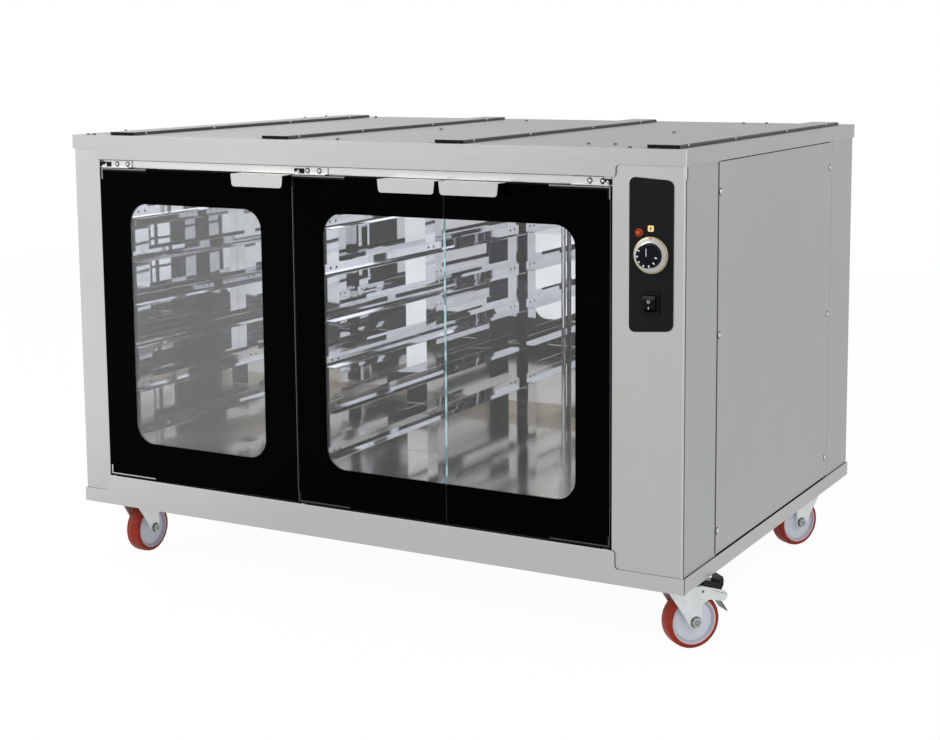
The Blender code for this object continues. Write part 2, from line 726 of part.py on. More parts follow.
def build_chamber(finish):
    """The bright inner walls and ceiling, each a sheet with stiffening flanges, and the floor pan."""
    near = CHAMBER_FRONT + GAP
    far = CHAMBER_BACK - GAP
    wall_top = CHAMBER_TOP - GAP
    for name, inner, way in (("left", CHAMBER_LEFT, -1.0), ("right", CHAMBER_RIGHT, 1.0)):
        outside = inner + way * LINER_FLANGE
        path = [(outside, near), (inner, near), (inner, far), (outside, far)]
        wall = prism(folded(path, way * LINER), "Z", PANEL_BOTTOM, wall_top)
        add_object(f"chamber_{name}_wall", wall, [finish])
    back = box(OPENING_LEFT, CHAMBER_RIGHT + LINER, CHAMBER_BACK, CHAMBER_BACK + LINER,
               PANEL_BOTTOM, wall_top)
    add_object("chamber_back_wall", back, [finish])
    ceiling_back = CHAMBER_BACK + LINER
    path = [
        (near, CHAMBER_TOP + LINER_FLANGE),
        (near, CHAMBER_TOP),
        (ceiling_back, CHAMBER_TOP),
        (ceiling_back, CHAMBER_TOP + LINER_FLANGE),
    ]
    ceiling = prism(folded(path, -LINER), "X", OPENING_LEFT, CHAMBER_RIGHT + LINER)
    add_object("chamber_ceiling", ceiling, [finish])
    path = [
        (near, FLOOR_TOP - PAN_FRONT_LIP),
        (near, FLOOR_TOP),
        (far - SHEET, FLOOR_TOP),
        (far - SHEET, FLOOR_TOP + PAN_LIP),
    ]
    pan_left = CHAMBER_LEFT + GAP
    pan_right = CHAMBER_RIGHT - GAP
    pan = prism(folded(path, SHEET), "X", pan_left, pan_right)
    lips = []
    for start in (pan_left, pan_right - SHEET):
        lips.append(box(start, start + SHEET, near, far, FLOOR_TOP - SHEET, FLOOR_TOP + PAN_LIP))
    add_object("floor_pan", join(pan, lips), [finish])


def post_places():
    """The middle of each upright of a rack along the depth, evenly spread over the slides."""
    first = FRONT + SLIDE_FRONT + POST_INSET
    last = CHAMBER_BACK - SLIDE_BACK - POST_INSET
    step = (last - first) / (POSTS_PER_RACK - 1)
    return [first + step * i for i in range(POSTS_PER_RACK)]


def slide(web_x, way, level):
    """One tray slide: an angle with its upright leg on the posts and its ledge pointing into the bay."""
    path = [
        (web_x - way * WELD, level + SLIDE_RISE),
        (web_x - way * WELD, level - SHEET),
        (web_x + way * SLIDE_LEDGE, level - SHEET),
    ]
    return prism(folded(path, -way * SHEET), "Y", FRONT + SLIDE_FRONT, CHAMBER_BACK - SLIDE_BACK)


def slide_levels():
    """The height of each tray slide's ledge, as many as fit under the ceiling."""
    first = BASE + SLIDE_FIRST
    spaces = int((CHAMBER_TOP - SLIDE_HEADROOM - first) / SLIDE_PITCH)
    return [first + SLIDE_PITCH * i for i in range(spaces + 1)]


def build_side_rack(name, wall_x, way, finish):
    """Channel posts against a chamber wall, with the slides riveted across them."""
    web = wall_x + way * RACK_STANDOFF
    foot = wall_x + way * GAP
    pieces = []
    for place in post_places():
        low = place - POST_WIDTH / 2
        high = place + POST_WIDTH / 2
        path = [(foot, low), (web, low), (web, high), (foot, high)]
        post = prism(folded(path, -way * SHEET), "Z", FLOOR_TOP + PAN_LIP + GAP, CHAMBER_TOP - GAP)
        pieces.append(post)
    for level in slide_levels():
        pieces.append(slide(web, way, level))
    add_object(name, join(pieces[0], pieces[1:]), [finish])


def build_centre_rack(finish):
    """The partition between the bays: channel posts from floor to ceiling with slides on both sides."""
    low_x = partition_x() - PARTITION_WIDTH / 2
    high_x = partition_x() + PARTITION_WIDTH / 2
    pieces = []
    for place in post_places():
        near = place - POST_WIDTH / 2
        far = place + POST_WIDTH / 2
        path = [(low_x, far), (low_x, near), (high_x, near), (high_x, far)]
        pieces.append(prism(folded(path, -SHEET), "Z", FLOOR_TOP + GAP, CHAMBER_TOP - GAP))
    for level in slide_levels():
        pieces.append(slide(low_x, -1.0, level))
        pieces.append(slide(high_x, 1.0, level))
    add_object("rack_centre", join(pieces[0], pieces[1:]), [finish])


def build_stop_rod(finish):
    """The upright rod at the back of the right bay, with its clip to the back wall."""
    x = partition_x() + STOP_ROD_OFFSET
    y = CHAMBER_BACK - STOP_ROD_BACK
    upright = rod(STOP_ROD_RADIUS, FLOOR_TOP + GAP, CHAMBER_TOP - GAP, STOP_ROD_SIDES, "Z", (x, y, 0.0))
    middle = FLOOR_TOP + STOP_CLIP_HEIGHT
    half = STOP_CLIP_SIZE / 2
    clip = box(x - half, x + half, y - SHEET / 2, y + SHEET / 2, middle - half, middle + half)
    stay = box(x - SHEET, x + SHEET, y, CHAMBER_BACK - GAP, middle - half, middle + half)
    add_object("rear_stop_rod", join(upright, [clip, stay]), [finish], smooth=True)


def build_rails(finish):
    """The four low channels on the cap, open towards the front."""
    for i, share in enumerate(RAIL_PLACE_SHARES):
        centre = LEFT + BODY_WIDTH * share
        low = centre - RAIL_WIDTH / 2
        high = centre + RAIL_WIDTH / 2
        path = [(low, TOP + GAP), (low, TOP + RAIL_HEIGHT), (high, TOP + RAIL_HEIGHT), (high, TOP + GAP)]
        rail = prism(bent(path, SHEET), "Y", FRONT + RAIL_FRONT_INSET, BACK - RAIL_BACK_INSET)
        add_object(f"top_rail_{i + 1}", rail, [finish])


def build_hinge_bracket(name, hinge_edge, way, finish):
    """The upper hinge: an angle screwed to the header, with the pin that hangs into the door's clip."""
    start = hinge_edge + way * BRACKET_OFFSET
    end = start + way * BRACKET_LENGTH
    path = [
        (HEADER_Y - GAP, HEADER_BOTTOM + BRACKET_HEIGHT),
        (HEADER_Y - GAP, HEADER_BOTTOM),
        (FRONT + BRACKET_FRONT, HEADER_BOTTOM),
    ]
    angle = prism(folded(path, BRACKET_SHEET), "X", min(start, end), max(start, end))
    centre = (pivot_x(hinge_edge, way), PIVOT_Y, 0.0)
    pin_top = HEADER_BOTTOM + BRACKET_SHEET / 2
    pin = rod(PIVOT_RADIUS, DOOR_TOP - PIVOT_LENGTH, pin_top, PIN_SIDES, "Z", centre)
    head_low = HEADER_BOTTOM + BRACKET_SHEET - WELD
    head = rod(BOLT_HEAD_RADIUS, head_low, head_low + BOLT_HEAD_HEIGHT, HEX_SIDES, "Z", centre)
    add_object(name, join(angle, [pin, head]), [finish])


def pane_outline(hinge, free, way, window_low, window_high):
    """The corners of a door's glass from the bottom hinge corner on, notched where the clips' blocks sit."""
    low = DOOR_BOTTOM + CLIP_WRAP
    high = DOOR_TOP - CLIP_WRAP
    block = hinge + way * (CLIP_BLOCK + GAP)
    edge = hinge + way * CLIP_WRAP
    notch = CLIP_WIDTH + GAP
    return [
        (edge, DOOR_BOTTOM + notch), (block, DOOR_BOTTOM + notch), (block, low), (free, low),
        (free, window_low), (free, window_high),
        (free, high), (block, high), (block, DOOR_TOP - notch), (edge, DOOR_TOP - notch),
    ]


def build_pane(name, hinge, free, way, side_border, open_edge, origin, finishes):
    """The glass with its black border and clear window, as two finishes on one pane.

    An open edge means that the window runs out to the door's free edge.
    """
    window_low = DOOR_BOTTOM + CLIP_WRAP + WINDOW_BOTTOM
    window_high = DOOR_TOP - CLIP_WRAP - WINDOW_TOP
    outline = pane_outline(hinge, free, way, window_low, window_high)
    inner = hinge + way * side_border
    outer = free if open_edge else free - way * side_border
    corners = [(outer, window_low), (inner, window_low), (inner, window_high), (outer, window_high)]
    if open_edge:
        window = rounded(corners, WINDOW_RADIUS, WINDOW_STEPS, closed=False)
        low_place = outline.index((free, window_low))
        border = outline[:low_place] + window + outline[low_place + 2:]
        loops = [border]
    else:
        window = rounded(corners, WINDOW_RADIUS, WINDOW_STEPS)
        loops = [outline, window]
    shape = bmesh.new()
    for y in (GLASS_FRONT, GLASS_BACK):
        places = [Vector((a, y, b)) for loop in loops for a, b in loop]
        verts = [shape.verts.new(place) for place in places]
        for corner_set in tessellate_polygon([[Vector((a, b, 0.0)) for a, b in loop] for loop in loops]):
            shape.faces.new([verts[i] for i in corner_set]).material_index = 0
        clear = shape.faces.new([shape.verts.new((a, y, b)) for a, b in window])
        clear.material_index = 1
    for here, after in zip(outline, outline[1:] + outline[:1]):
        rim = [(here, GLASS_FRONT), (after, GLASS_FRONT), (after, GLASS_BACK), (here, GLASS_BACK)]
        shape.faces.new([shape.verts.new((a, y, b)) for (a, b), y in rim]).material_index = 0
    add_object(name, mesh_from(shape), finishes, origin)


def build_clip(name, hinge, way, edge, down, origin, finish):
    """The L-shaped shoe that holds the glass at a hinge corner; its block carries the pivot bore."""
    def place(along, inward):
        """A point from its distances to the door's hinge edge and to its top or bottom edge."""
        return (hinge + way * along, edge + down * inward)

    legs = [
        place(0.0, 0.0), place(CLIP_LENGTH, 0.0), place(CLIP_LENGTH, CLIP_WIDTH),
        place(CLIP_WIDTH, CLIP_WIDTH), place(CLIP_WIDTH, CLIP_DROP), place(0.0, CLIP_DROP),
    ]
    far_x = CLIP_LENGTH + CUT_OVERRUN
    far_z = CLIP_DROP + CUT_OVERRUN
    slot = [
        place(CLIP_BLOCK, CLIP_WEB), place(far_x, CLIP_WEB), place(far_x, far_z), place(CLIP_WEB, far_z),
        place(CLIP_WEB, CLIP_WIDTH), place(CLIP_BLOCK, CLIP_WIDTH),
    ]
    body = prism(legs, "Y", GLASS_FRONT - GAP - CLIP_SHEET, GLASS_BACK + GAP + CLIP_SHEET)
    room = prism(slot, "Y", GLASS_FRONT - GAP, GLASS_BACK + GAP)
    low = min(edge, edge + down * CLIP_WIDTH) - CUT_OVERRUN
    high = max(edge, edge + down * CLIP_WIDTH) + CUT_OVERRUN
    bore = rod(PIVOT_RADIUS + PIVOT_PLAY, low, high, PIN_SIDES, "Z", (pivot_x(hinge, way), PIVOT_Y, 0.0))
    add_object(name, cut(body, [room, bore]), [finish], origin)


def build_handle(name, free, way, origin, finish):
    """The finger lip: a strip folded over the door's top edge, standing off and turned down in front."""
    start = free - way * HANDLE_INSET
    end = start - way * HANDLE_WIDTH
    low, high = min(start, end), max(start, end)
    lip_y = GLASS_FRONT - HANDLE_REACH
    back_y = GLASS_BACK + GAP + SHEET
    path = [(back_y, DOOR_TOP - HANDLE_BACK_DROP), (back_y, DOOR_TOP), (lip_y + SHEET - WELD, DOOR_TOP)]
    strap = prism(folded(path, -SHEET), "X", low, high)
    bottom = DOOR_TOP - HANDLE_DROP
    plate = [
        (low, DOOR_TOP), (high, DOOR_TOP), (high - HANDLE_TAPER, bottom), (low + HANDLE_TAPER, bottom),
    ]
    lower = rounded(plate, HANDLE_CORNER, HANDLE_CORNER_STEPS)[2 * (HANDLE_CORNER_STEPS + 1):]
    lip = prism(plate[:2] + lower, "Y", lip_y, lip_y + SHEET)
    add_object(name, join(lip, [strap]), [finish], origin)


def build_doors(finishes):
    """Three glass doors, each with its clips and handle gathered on its pivot."""
    glass = [finishes["black_enamel"], finishes["clear_glass"]]
    metal = finishes["satin_steel"]
    for name, hinge, free, way in door_places():
        origin = (pivot_x(hinge, way), PIVOT_Y, DOOR_BOTTOM)
        side_border = WINDOW_SIDE_LEFT_DOOR if name == "left" else WINDOW_SIDE_PAIR
        build_pane(f"{name}_door_glass", hinge, free, way, side_border, name != "left", origin, glass)
        build_clip(f"{name}_door_clip_top", hinge, way, DOOR_TOP, -1.0, origin, metal)
        build_clip(f"{name}_door_clip_bottom", hinge, way, DOOR_BOTTOM, 1.0, origin, metal)
        build_handle(f"{name}_door_handle", free, way, origin, metal)
        build_hinge_bracket(f"hinge_bracket_{name}", hinge, way, metal)


def rectangle(centre_a, centre_b, width, height):
    """The corners of a rectangle about a centre."""
    return [
        (centre_a - width / 2, centre_b - height / 2), (centre_a + width / 2, centre_b - height / 2),
        (centre_a + width / 2, centre_b + height / 2), (centre_a - width / 2, centre_b + height / 2),
    ]


def build_controls(finishes):
    """The control plate, the thermostat with its ring and knob, and the pilot lamp."""
    outline = rectangle(CONTROL_X, (PLATE_TOP + PLATE_BOTTOM) / 2, PLATE_WIDTH, PLATE_TOP - PLATE_BOTTOM)
    plate = prism(rounded(outline, PLATE_CORNER, PLATE_CORNER_STEPS), "Y", PLATE_FRONT, PLATE_BACK)
    plate = cut(plate, control_holes(PLATE_FRONT - CUT_OVERRUN, PLATE_BACK + CUT_OVERRUN))
    add_object("control_plate", plate, [finishes["black_plastic"]])

    dial = (CONTROL_X, 0.0, THERMOSTAT_Z)
    crest = (RING_RADIUS + RING_BORE) / 2
    ring_profile = [
        (RING_BORE, CONTROL_BACK), (RING_BORE, CONTROL_BACK - RING_DEPTH / 2),
        (crest, CONTROL_BACK - RING_DEPTH), (RING_RADIUS, CONTROL_BACK - RING_DEPTH / 2),
        (RING_RADIUS, CONTROL_BACK),
    ]
    ring = revolve(ring_profile, RING_SIDES, "Y", dial)
    add_object("thermostat_ring", ring, [finishes["ring_metal"]], smooth=True)

    body_front = FACE_Y + SHEET + GAP
    body = box(CONTROL_X - THERMOSTAT_SIDE / 2, CONTROL_X + THERMOSTAT_SIDE / 2, body_front,
               body_front + THERMOSTAT_DEPTH, dial[2] - THERMOSTAT_SIDE / 2, dial[2] + THERMOSTAT_SIDE / 2)
    bush = rod(BUSH_RADIUS, PLATE_FRONT, body_front + WELD, PIN_SIDES, "Y", dial)
    shaft_end = CONTROL_BACK + SHAFT_LENGTH
    bore = rod(SHAFT_RADIUS + GAP, PLATE_FRONT - CUT_OVERRUN, shaft_end + GAP, PIN_SIDES, "Y", dial)
    add_object("thermostat_body", cut(join(body, [bush]), [bore]), [finishes["grey_plastic"]])

    face = CONTROL_BACK - KNOB_DEPTH
    knob_profile = [
        (0.0, face), (KNOB_RADIUS - KNOB_CHAMFER, face), (KNOB_RADIUS, face + KNOB_CHAMFER),
        (KNOB_RADIUS, CONTROL_BACK), (SHAFT_RADIUS, CONTROL_BACK), (SHAFT_RADIUS, shaft_end),
        (0.0, shaft_end),
    ]
    knob = revolve(knob_profile, KNOB_SIDES, "Y", dial)
    add_object("thermostat_knob", knob, [finishes["black_plastic"]], (dial[0], face, dial[2]), smooth=True)

    lamp_at = (CONTROL_X + LAMP_OFFSET_X, 0.0, dial[2] + LAMP_OFFSET_Z)
    dome = arc((0.0, 0.0), 1.0, 0.0, math.pi / 2, LAMP_DOME_STEPS)
    lamp_profile = [(LAMP_RADIUS * a, CONTROL_BACK - LAMP_DOME * b) for a, b in dome[:-1]]
    lamp_profile += [
        (0.0, CONTROL_BACK - LAMP_DOME), (0.0, CONTROL_BACK + LAMP_STEM_LENGTH),
        (LAMP_STEM_RADIUS, CONTROL_BACK + LAMP_STEM_LENGTH), (LAMP_STEM_RADIUS, CONTROL_BACK),
    ]
    lamp = revolve(lamp_profile, LAMP_SIDES, "Y", lamp_at)
    add_object("pilot_lamp", lamp, [finishes["red_lens"]], smooth=True)


def build_switch(finishes):
    """The rocker switch: a bezel and body with a pocket, and the rocker that tilts in it."""
    z = SWITCH_Z
    bezel_front = CONTROL_BACK - BEZEL_DEPTH
    outline = rounded(rectangle(CONTROL_X, z, BEZEL_WIDTH, BEZEL_HEIGHT), BEZEL_CORNER, BEND_STEPS)
    bezel = prism(outline, "Y", bezel_front, CONTROL_BACK)
    body = prism(rectangle(CONTROL_X, z, SWITCH_BODY_WIDTH, SWITCH_BODY_HEIGHT), "Y",
                 CONTROL_BACK - WELD, CONTROL_BACK + SWITCH_BODY_DEPTH)
    pocket_shape = rectangle(CONTROL_X, z, ROCKER_WIDTH + 2 * GAP, ROCKER_HEIGHT + 2 * ROCKER_END_PLAY)
    pocket = prism(pocket_shape, "Y", bezel_front - CUT_OVERRUN, bezel_front + POCKET_DEPTH)
    add_object("switch_housing", cut(join(bezel, [body]), [pocket]), [finishes["black_plastic"]])

    half = ROCKER_HEIGHT / 2
    pivot = bezel_front + BEZEL_DEPTH
    middle = bezel_front - ROCKER_PROUD
    brow = middle - half * math.tan(ROCKER_TILT)
    end = half - ROCKER_BEVEL
    heel = half - ROCKER_BACK_TAPER
    profile = [
        (middle, z), (brow, z + end), (bezel_front, z + half), (pivot, z + half),
        (pivot + ROCKER_BACK, z + heel),
        (pivot + ROCKER_BACK, z - heel), (pivot, z - half), (bezel_front, z - half), (brow, z - end),
    ]
    shape = prism(profile, "X", CONTROL_X - ROCKER_WIDTH / 2, CONTROL_X + ROCKER_WIDTH / 2)
    rocker = add_object("rocker", shape, [finishes["black_plastic"]], (CONTROL_X, pivot, z))
    rocker.rotation_euler = (ROCKER_TILT, 0.0, 0.0)


def build_heater(finish):
    """The hairpin heater under the floor pan, on two brackets that stand on the base plate."""
    z = BASE + HEATER_HEIGHT
    right = OPENING_RIGHT - HEATER_END_INSET
    left = OPENING_LEFT + HEATER_END_INSET
    half = HEATER_LEG_SPACING / 2
    path = [(right + HEATER_TERMINAL, -half)]
    path += arc((left, 0.0), half, math.pi * 1.5, math.pi * 0.5, HEATER_BEND_STEPS)
    path += [(right + HEATER_TERMINAL, half)]
    curve = bpy.data.curves.new("heater_path", "CURVE")
    curve.dimensions = "3D"
    curve.bevel_depth = HEATER_TUBE
    curve.bevel_resolution = HEATER_ROUND_STEPS
    curve.use_fill_caps = True
    spline = curve.splines.new("POLY")
    spline.points.add(len(path) - 1)
    for point, (x, y) in zip(spline.points, path):
        point.co = (x, y, z, 1.0)
    carrier = bpy.data.objects.new("heater_path", curve)
    bpy.context.scene.collection.objects.link(carrier)
    graph = bpy.context.evaluated_depsgraph_get()
    tube = bpy.data.meshes.new_from_object(carrier.evaluated_get(graph))
    bpy.data.objects.remove(carrier, do_unlink=True)
    brackets = []
    reach = half + HEATER_BRACKET_MARGIN
    top = z + HEATER_BRACKET_MARGIN / 2
    for x in (left + HEATER_BRACKET_PLACE, right):
        brackets.append(box(x, x + HEATER_BRACKET, -reach, reach, PANEL_BOTTOM, top))
    add_object("heating_element", join(tube, brackets), [finish], smooth=True)


def build_gland(finish):
    """The cable gland: a hexagon nut outside the back sheet, its domed cap and the threaded end inside."""
    centre = (RIGHT - GLAND_INSET, 0.0, BASE + GLAND_HEIGHT)
    start = BACK_Y + GAP
    tip = BACK_Y + GLAND_LENGTH
    inside = BACK_Y - SHEET - GLAND_INSIDE
    shoulder = start + GLAND_NUT_DEPTH
    profile = [
        (0.0, inside), (GLAND_THREAD_RADIUS, inside), (GLAND_THREAD_RADIUS, shoulder - WELD),
        (GLAND_DOME_RADIUS, shoulder - WELD), (GLAND_DOME_RADIUS, (shoulder + tip) / 2),
        ((GLAND_DOME_RADIUS + GLAND_BORE) / 2, tip), (0.0, tip),
    ]
    body = revolve(profile, GLAND_SIDES, "Y", centre)
    nut = rod(GLAND_NUT_RADIUS, start, shoulder, HEX_SIDES, "Y", centre)
    through = rod(GLAND_BORE, inside - CUT_OVERRUN, tip + CUT_OVERRUN, GLAND_SIDES, "Y", centre)
    add_object("cable_gland", cut(join(body, [nut]), [through]), [finish])


def tangent_angle(point, centre, radius):
    """The direction from the centre to where a line from the point touches the circle."""
    away = Vector(point) - Vector(centre)
    return math.atan2(away.y, away.x) + math.acos(radius / away.length)


def fork_outline(braked):
    """A cheek of the fork across Y, from the crown down round the axle, with the brake's arm if wanted."""
    top = CASTER_HEIGHT - GAP - CASTER_PLATE - RACE_DROP - GAP - CROWN_GAP
    axle = (TRAIL, WHEEL_RADIUS)
    start = (-FORK_TOP_BACK, top)
    first = tangent_angle(start, axle, FORK_LEG_RADIUS)
    outline = [start] + arc(axle, FORK_LEG_RADIUS, first, 2 * math.pi, FORK_ARC_STEPS)
    front = TRAIL + FORK_LEG_RADIUS
    if not braked:
        return outline + [(front, top)]
    throat = (front + ARM_THROAT_RADIUS, ARM_THROAT_HEIGHT)
    tip = (TRAIL + ARM_REACH - ARM_END_RADIUS, top - ARM_TOP_FALL - ARM_END_RADIUS)
    slope = math.atan2(ARM_TOP_FALL, tip[0] - front)
    outline += arc(throat, ARM_THROAT_RADIUS, math.pi, math.pi / 2 - slope, FORK_ARC_STEPS)
    outline += arc(tip, ARM_END_RADIUS, -math.pi / 2 - slope, math.pi / 2 - slope, FORK_ARC_STEPS)
    return outline + [(front, top)]


def build_fork_mesh(braked):
    """Both cheeks, the crown with its race, the axle and, with a brake, the pedal's pin and the end web."""
    top = CASTER_HEIGHT - GAP - CASTER_PLATE - RACE_DROP - GAP
    crown_top = top - CROWN_GAP
    crown_low = crown_top - CROWN
    outer = FORK_INNER + FORK_SHEET
    outline = fork_outline(braked)
    crown = box(-FORK_TOP_BACK, TRAIL + FORK_LEG_RADIUS, -outer, outer, crown_low, crown_top)
    pieces = [prism(outline, "Y", -outer, -FORK_INNER), prism(outline, "Y", FORK_INNER, outer)]
    pieces.append(rod(LOWER_RACE_RADIUS, crown_top - WELD, top, RACE_SIDES))
    axle = (TRAIL, 0.0, WHEEL_RADIUS)
    pieces.append(rod(AXLE_RADIUS, -outer, outer, PIN_SIDES, "Y", axle))
    for low in (-outer - AXLE_HEAD, outer - WELD):
        pieces.append(rod(AXLE_HEAD_RADIUS, low, low + AXLE_HEAD + WELD, HEX_SIDES, "Y", axle))
    if braked:
        pin = (PEDAL_PIVOT_X, 0.0, PEDAL_PIVOT_Z)
        pieces.append(rod(PEDAL_PIN_RADIUS, -outer + WELD, outer - WELD, PIN_SIDES, "Y", pin))
        end = TRAIL + ARM_REACH - ARM_WEB
        middle = crown_top - ARM_TOP_FALL - ARM_END_RADIUS
        pieces.append(box(end - ARM_WEB, end, -FORK_INNER - WELD, FORK_INNER + WELD,
                          middle - ARM_END_RADIUS / 2, middle + ARM_END_RADIUS / 2))
    bore = rod(KINGPIN_RADIUS + GAP, crown_low - CUT_OVERRUN, top + CUT_OVERRUN, PIN_SIDES)
    return cut(join(crown, pieces), [bore])


def build_wheel_mesh():
    """The wheel about its axle: a dished nylon centre with the tyre bonded round it."""
    half_tyre = TYRE_WIDTH / 2
    half_hub = HUB_WIDTH / 2
    tyre_in = WHEEL_RADIUS - TYRE_THICKNESS
    rim_in = tyre_in - HUB_RIM
    web = half_tyre - HUB_DISH
    bore = AXLE_RADIUS + GAP
    side = [
        (bore, half_hub), (HUB_BOSS_RADIUS, half_hub), (HUB_BOSS_RADIUS + HUB_DISH / 2, web),
        (rim_in - HUB_DISH / 2, web), (rim_in, half_tyre), (tyre_in, half_tyre),
        (WHEEL_RADIUS - TYRE_SHOULDER, half_tyre),
        (WHEEL_RADIUS - TYRE_SHOULDER / 4, half_tyre - TYRE_SHOULDER / 2),
        (WHEEL_RADIUS, half_tyre - 2 * TYRE_SHOULDER),
    ]
    profile = side + [(radius, -along) for radius, along in reversed(side)]
    mesh = revolve(profile, WHEEL_SIDES, "Y", (0.0, 0.0, 0.0))
    for face in mesh.polygons:
        centre = Vector((face.center.x, face.center.z))
        face.material_index = 1 if centre.length > tyre_in - MERGE else 0
    return mesh


def build_pedal_mesh():
    """The brake's rocker: the tread with its turned-up toe, the shoe over the tyre and the release lever."""
    outline = []
    for along, up in PEDAL_OUTLINE_SHARES:
        outline.append((PEDAL_PIVOT_X + along * PEDAL_LENGTH, PEDAL_PIVOT_Z + up * PEDAL_HEIGHT))
    body = prism(outline, "Y", -PEDAL_HALF_WIDTH, PEDAL_HALF_WIDTH)
    reach = PEDAL_HALF_WIDTH + CUT_OVERRUN
    pivot = (PEDAL_PIVOT_X, 0.0, PEDAL_PIVOT_Z)
    bore = rod(PEDAL_PIN_RADIUS + GAP, -reach, reach, PIN_SIDES, "Y", pivot)
    return cut(body, [bore])


def build_caster_plate(name, x, y, finish):
    """The fixed part of a caster: its plate, the upper race and the kingpin with its head."""
    top = CASTER_HEIGHT - GAP
    low = top - CASTER_PLATE
    race = low - RACE_DROP
    crown_low = race - GAP - CROWN_GAP - CROWN
    head_top = crown_low - GAP
    plate = prism(rounded(rectangle(x, y, CASTER_PLATE_X, CASTER_PLATE_Y), CASTER_PLATE_CORNER, BEND_STEPS),
                  "Z", low, top)
    profile = [
        (0.0, head_top - KINGPIN_HEAD), (KINGPIN_HEAD_RADIUS, head_top - KINGPIN_HEAD),
        (KINGPIN_HEAD_RADIUS, head_top), (KINGPIN_RADIUS, head_top), (KINGPIN_RADIUS, race),
        (RACE_RADIUS - RACE_CHAMFER, race), (RACE_RADIUS, race + RACE_CHAMFER), (RACE_RADIUS, low + WELD),
        (0.0, low + WELD),
    ]
    turned = revolve(profile, RACE_SIDES, "Z", (x, y, 0.0))
    add_object(name, join(plate, [turned]), [finish])


def build_casters(finishes):
    """Four swivel casters; the front right and rear left ones have foot brakes."""
    left = LEFT + CASTER_SIDE_INSET
    right = RIGHT - CASTER_SIDE_INSET
    front = FRONT + CASTER_FRONT_INSET
    back = BACK - CASTER_BACK_INSET
    places = (
        ("front_right", right, front, FRONT_RIGHT_HEADING, True),
        ("front_left", left, front, FRONT_LEFT_HEADING, False),
        ("rear_right", right, back, REAR_RIGHT_HEADING, False),
        ("rear_left", left, back, FRONT_RIGHT_HEADING + HALF_TURN, True),
    )
    made = {}
    wheel_at = (TRAIL, 0.0, WHEEL_RADIUS)
    for name, x, y, heading, braked in places:
        build_caster_plate(f"{name}_caster_plate", x, y, finishes["zinc"])
        carrier = add_empty(f"{name}_swivel", (x, y, 0.0), heading)
        if braked in made:
            add_copy(f"{name}_fork", made[braked], carrier)
        else:
            fork = build_fork_mesh(braked)
            made[braked] = add_object(f"{name}_fork", fork, [finishes["zinc"]], parent=carrier)
        if "wheel" in made:
            add_copy(f"{name}_wheel", made["wheel"], carrier)
        else:
            wheel = moved(build_wheel_mesh(), wheel_at)
            two_finishes = [finishes["white_nylon"], finishes["red_tyre"]]
            made["wheel"] = add_object(f"{name}_wheel", wheel, two_finishes, wheel_at, carrier, smooth=True)
        if not braked:
            continue
        if "pedal" in made:
            add_copy(f"{name}_brake_pedal", made["pedal"], carrier)
        else:
            pivot = (PEDAL_PIVOT_X, 0.0, PEDAL_PIVOT_Z)
            pedal = build_pedal_mesh()
            coat = [finishes["pedal_coat"]]
            made["pedal"] = add_object(f"{name}_brake_pedal", pedal, coat, pivot, carrier)


def main():
    """Builds the whole cabinet."""
    clear_scene()
    finishes = make_materials()
    build_base_frame(finishes["satin_steel"])
    build_top_cap(finishes["satin_steel"])
    build_columns(finishes["satin_steel"])
    build_side_panels(finishes["satin_steel"], finishes["side_steel"])
    build_back_panel(finishes["side_steel"])
    build_header(finishes["satin_steel"])
    build_chamber(finishes["liner_steel"])
    build_side_rack("rack_left", CHAMBER_LEFT, 1.0, finishes["liner_steel"])
    build_side_rack("rack_right", CHAMBER_RIGHT, -1.0, finishes["liner_steel"])
    build_centre_rack(finishes["liner_steel"])
    build_stop_rod(finishes["liner_steel"])
    build_rails(finishes["rail_steel"])
    build_doors(finishes)
    build_controls(finishes)
    build_switch(finishes)
    build_heater(finishes["heater_sheath"])
    build_gland(finishes["black_plastic"])
    build_casters(finishes)


main()
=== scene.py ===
# %% [markdown]
# # A proofing cabinet on casters
#
# This notebook dresses the CAD model of a low heated cabinet: sheet steel outside, three glass doors with
# black borders, polished tray racks inside, a small control plate and four red wheels. The CAD bodies
# stay where they are. Each step adds a finish or a finer piece on top of them, in metres, in the same
# frame as the CAD.

import json
import math

import bmesh
import bpy
from mathutils import Matrix, Vector
from mathutils.geometry import tessellate_polygon


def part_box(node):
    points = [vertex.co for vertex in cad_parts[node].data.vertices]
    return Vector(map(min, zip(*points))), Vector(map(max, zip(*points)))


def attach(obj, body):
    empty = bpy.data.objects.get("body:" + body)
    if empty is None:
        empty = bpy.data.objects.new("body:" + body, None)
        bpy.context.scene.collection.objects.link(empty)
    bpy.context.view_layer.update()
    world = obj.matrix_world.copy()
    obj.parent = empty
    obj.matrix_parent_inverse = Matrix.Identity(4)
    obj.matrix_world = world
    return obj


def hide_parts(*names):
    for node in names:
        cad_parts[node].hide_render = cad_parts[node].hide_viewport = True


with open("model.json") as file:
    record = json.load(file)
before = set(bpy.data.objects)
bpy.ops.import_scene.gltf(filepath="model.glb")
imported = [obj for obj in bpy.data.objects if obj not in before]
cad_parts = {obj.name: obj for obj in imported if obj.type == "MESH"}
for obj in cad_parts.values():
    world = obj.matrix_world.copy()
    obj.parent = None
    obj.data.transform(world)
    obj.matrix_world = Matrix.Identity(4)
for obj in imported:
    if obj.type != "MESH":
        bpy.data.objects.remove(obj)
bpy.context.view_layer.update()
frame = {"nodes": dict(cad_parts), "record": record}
nodes = frame["nodes"]
body_nodes = frame["record"]["behaviour"]["bodies"]
body_of_node = {node: body for body, names in body_nodes.items() for node in names}


def rounded(*points):
    """The coordinates of some points, short enough to print."""
    return [round(value, 4) for point in points for value in point]


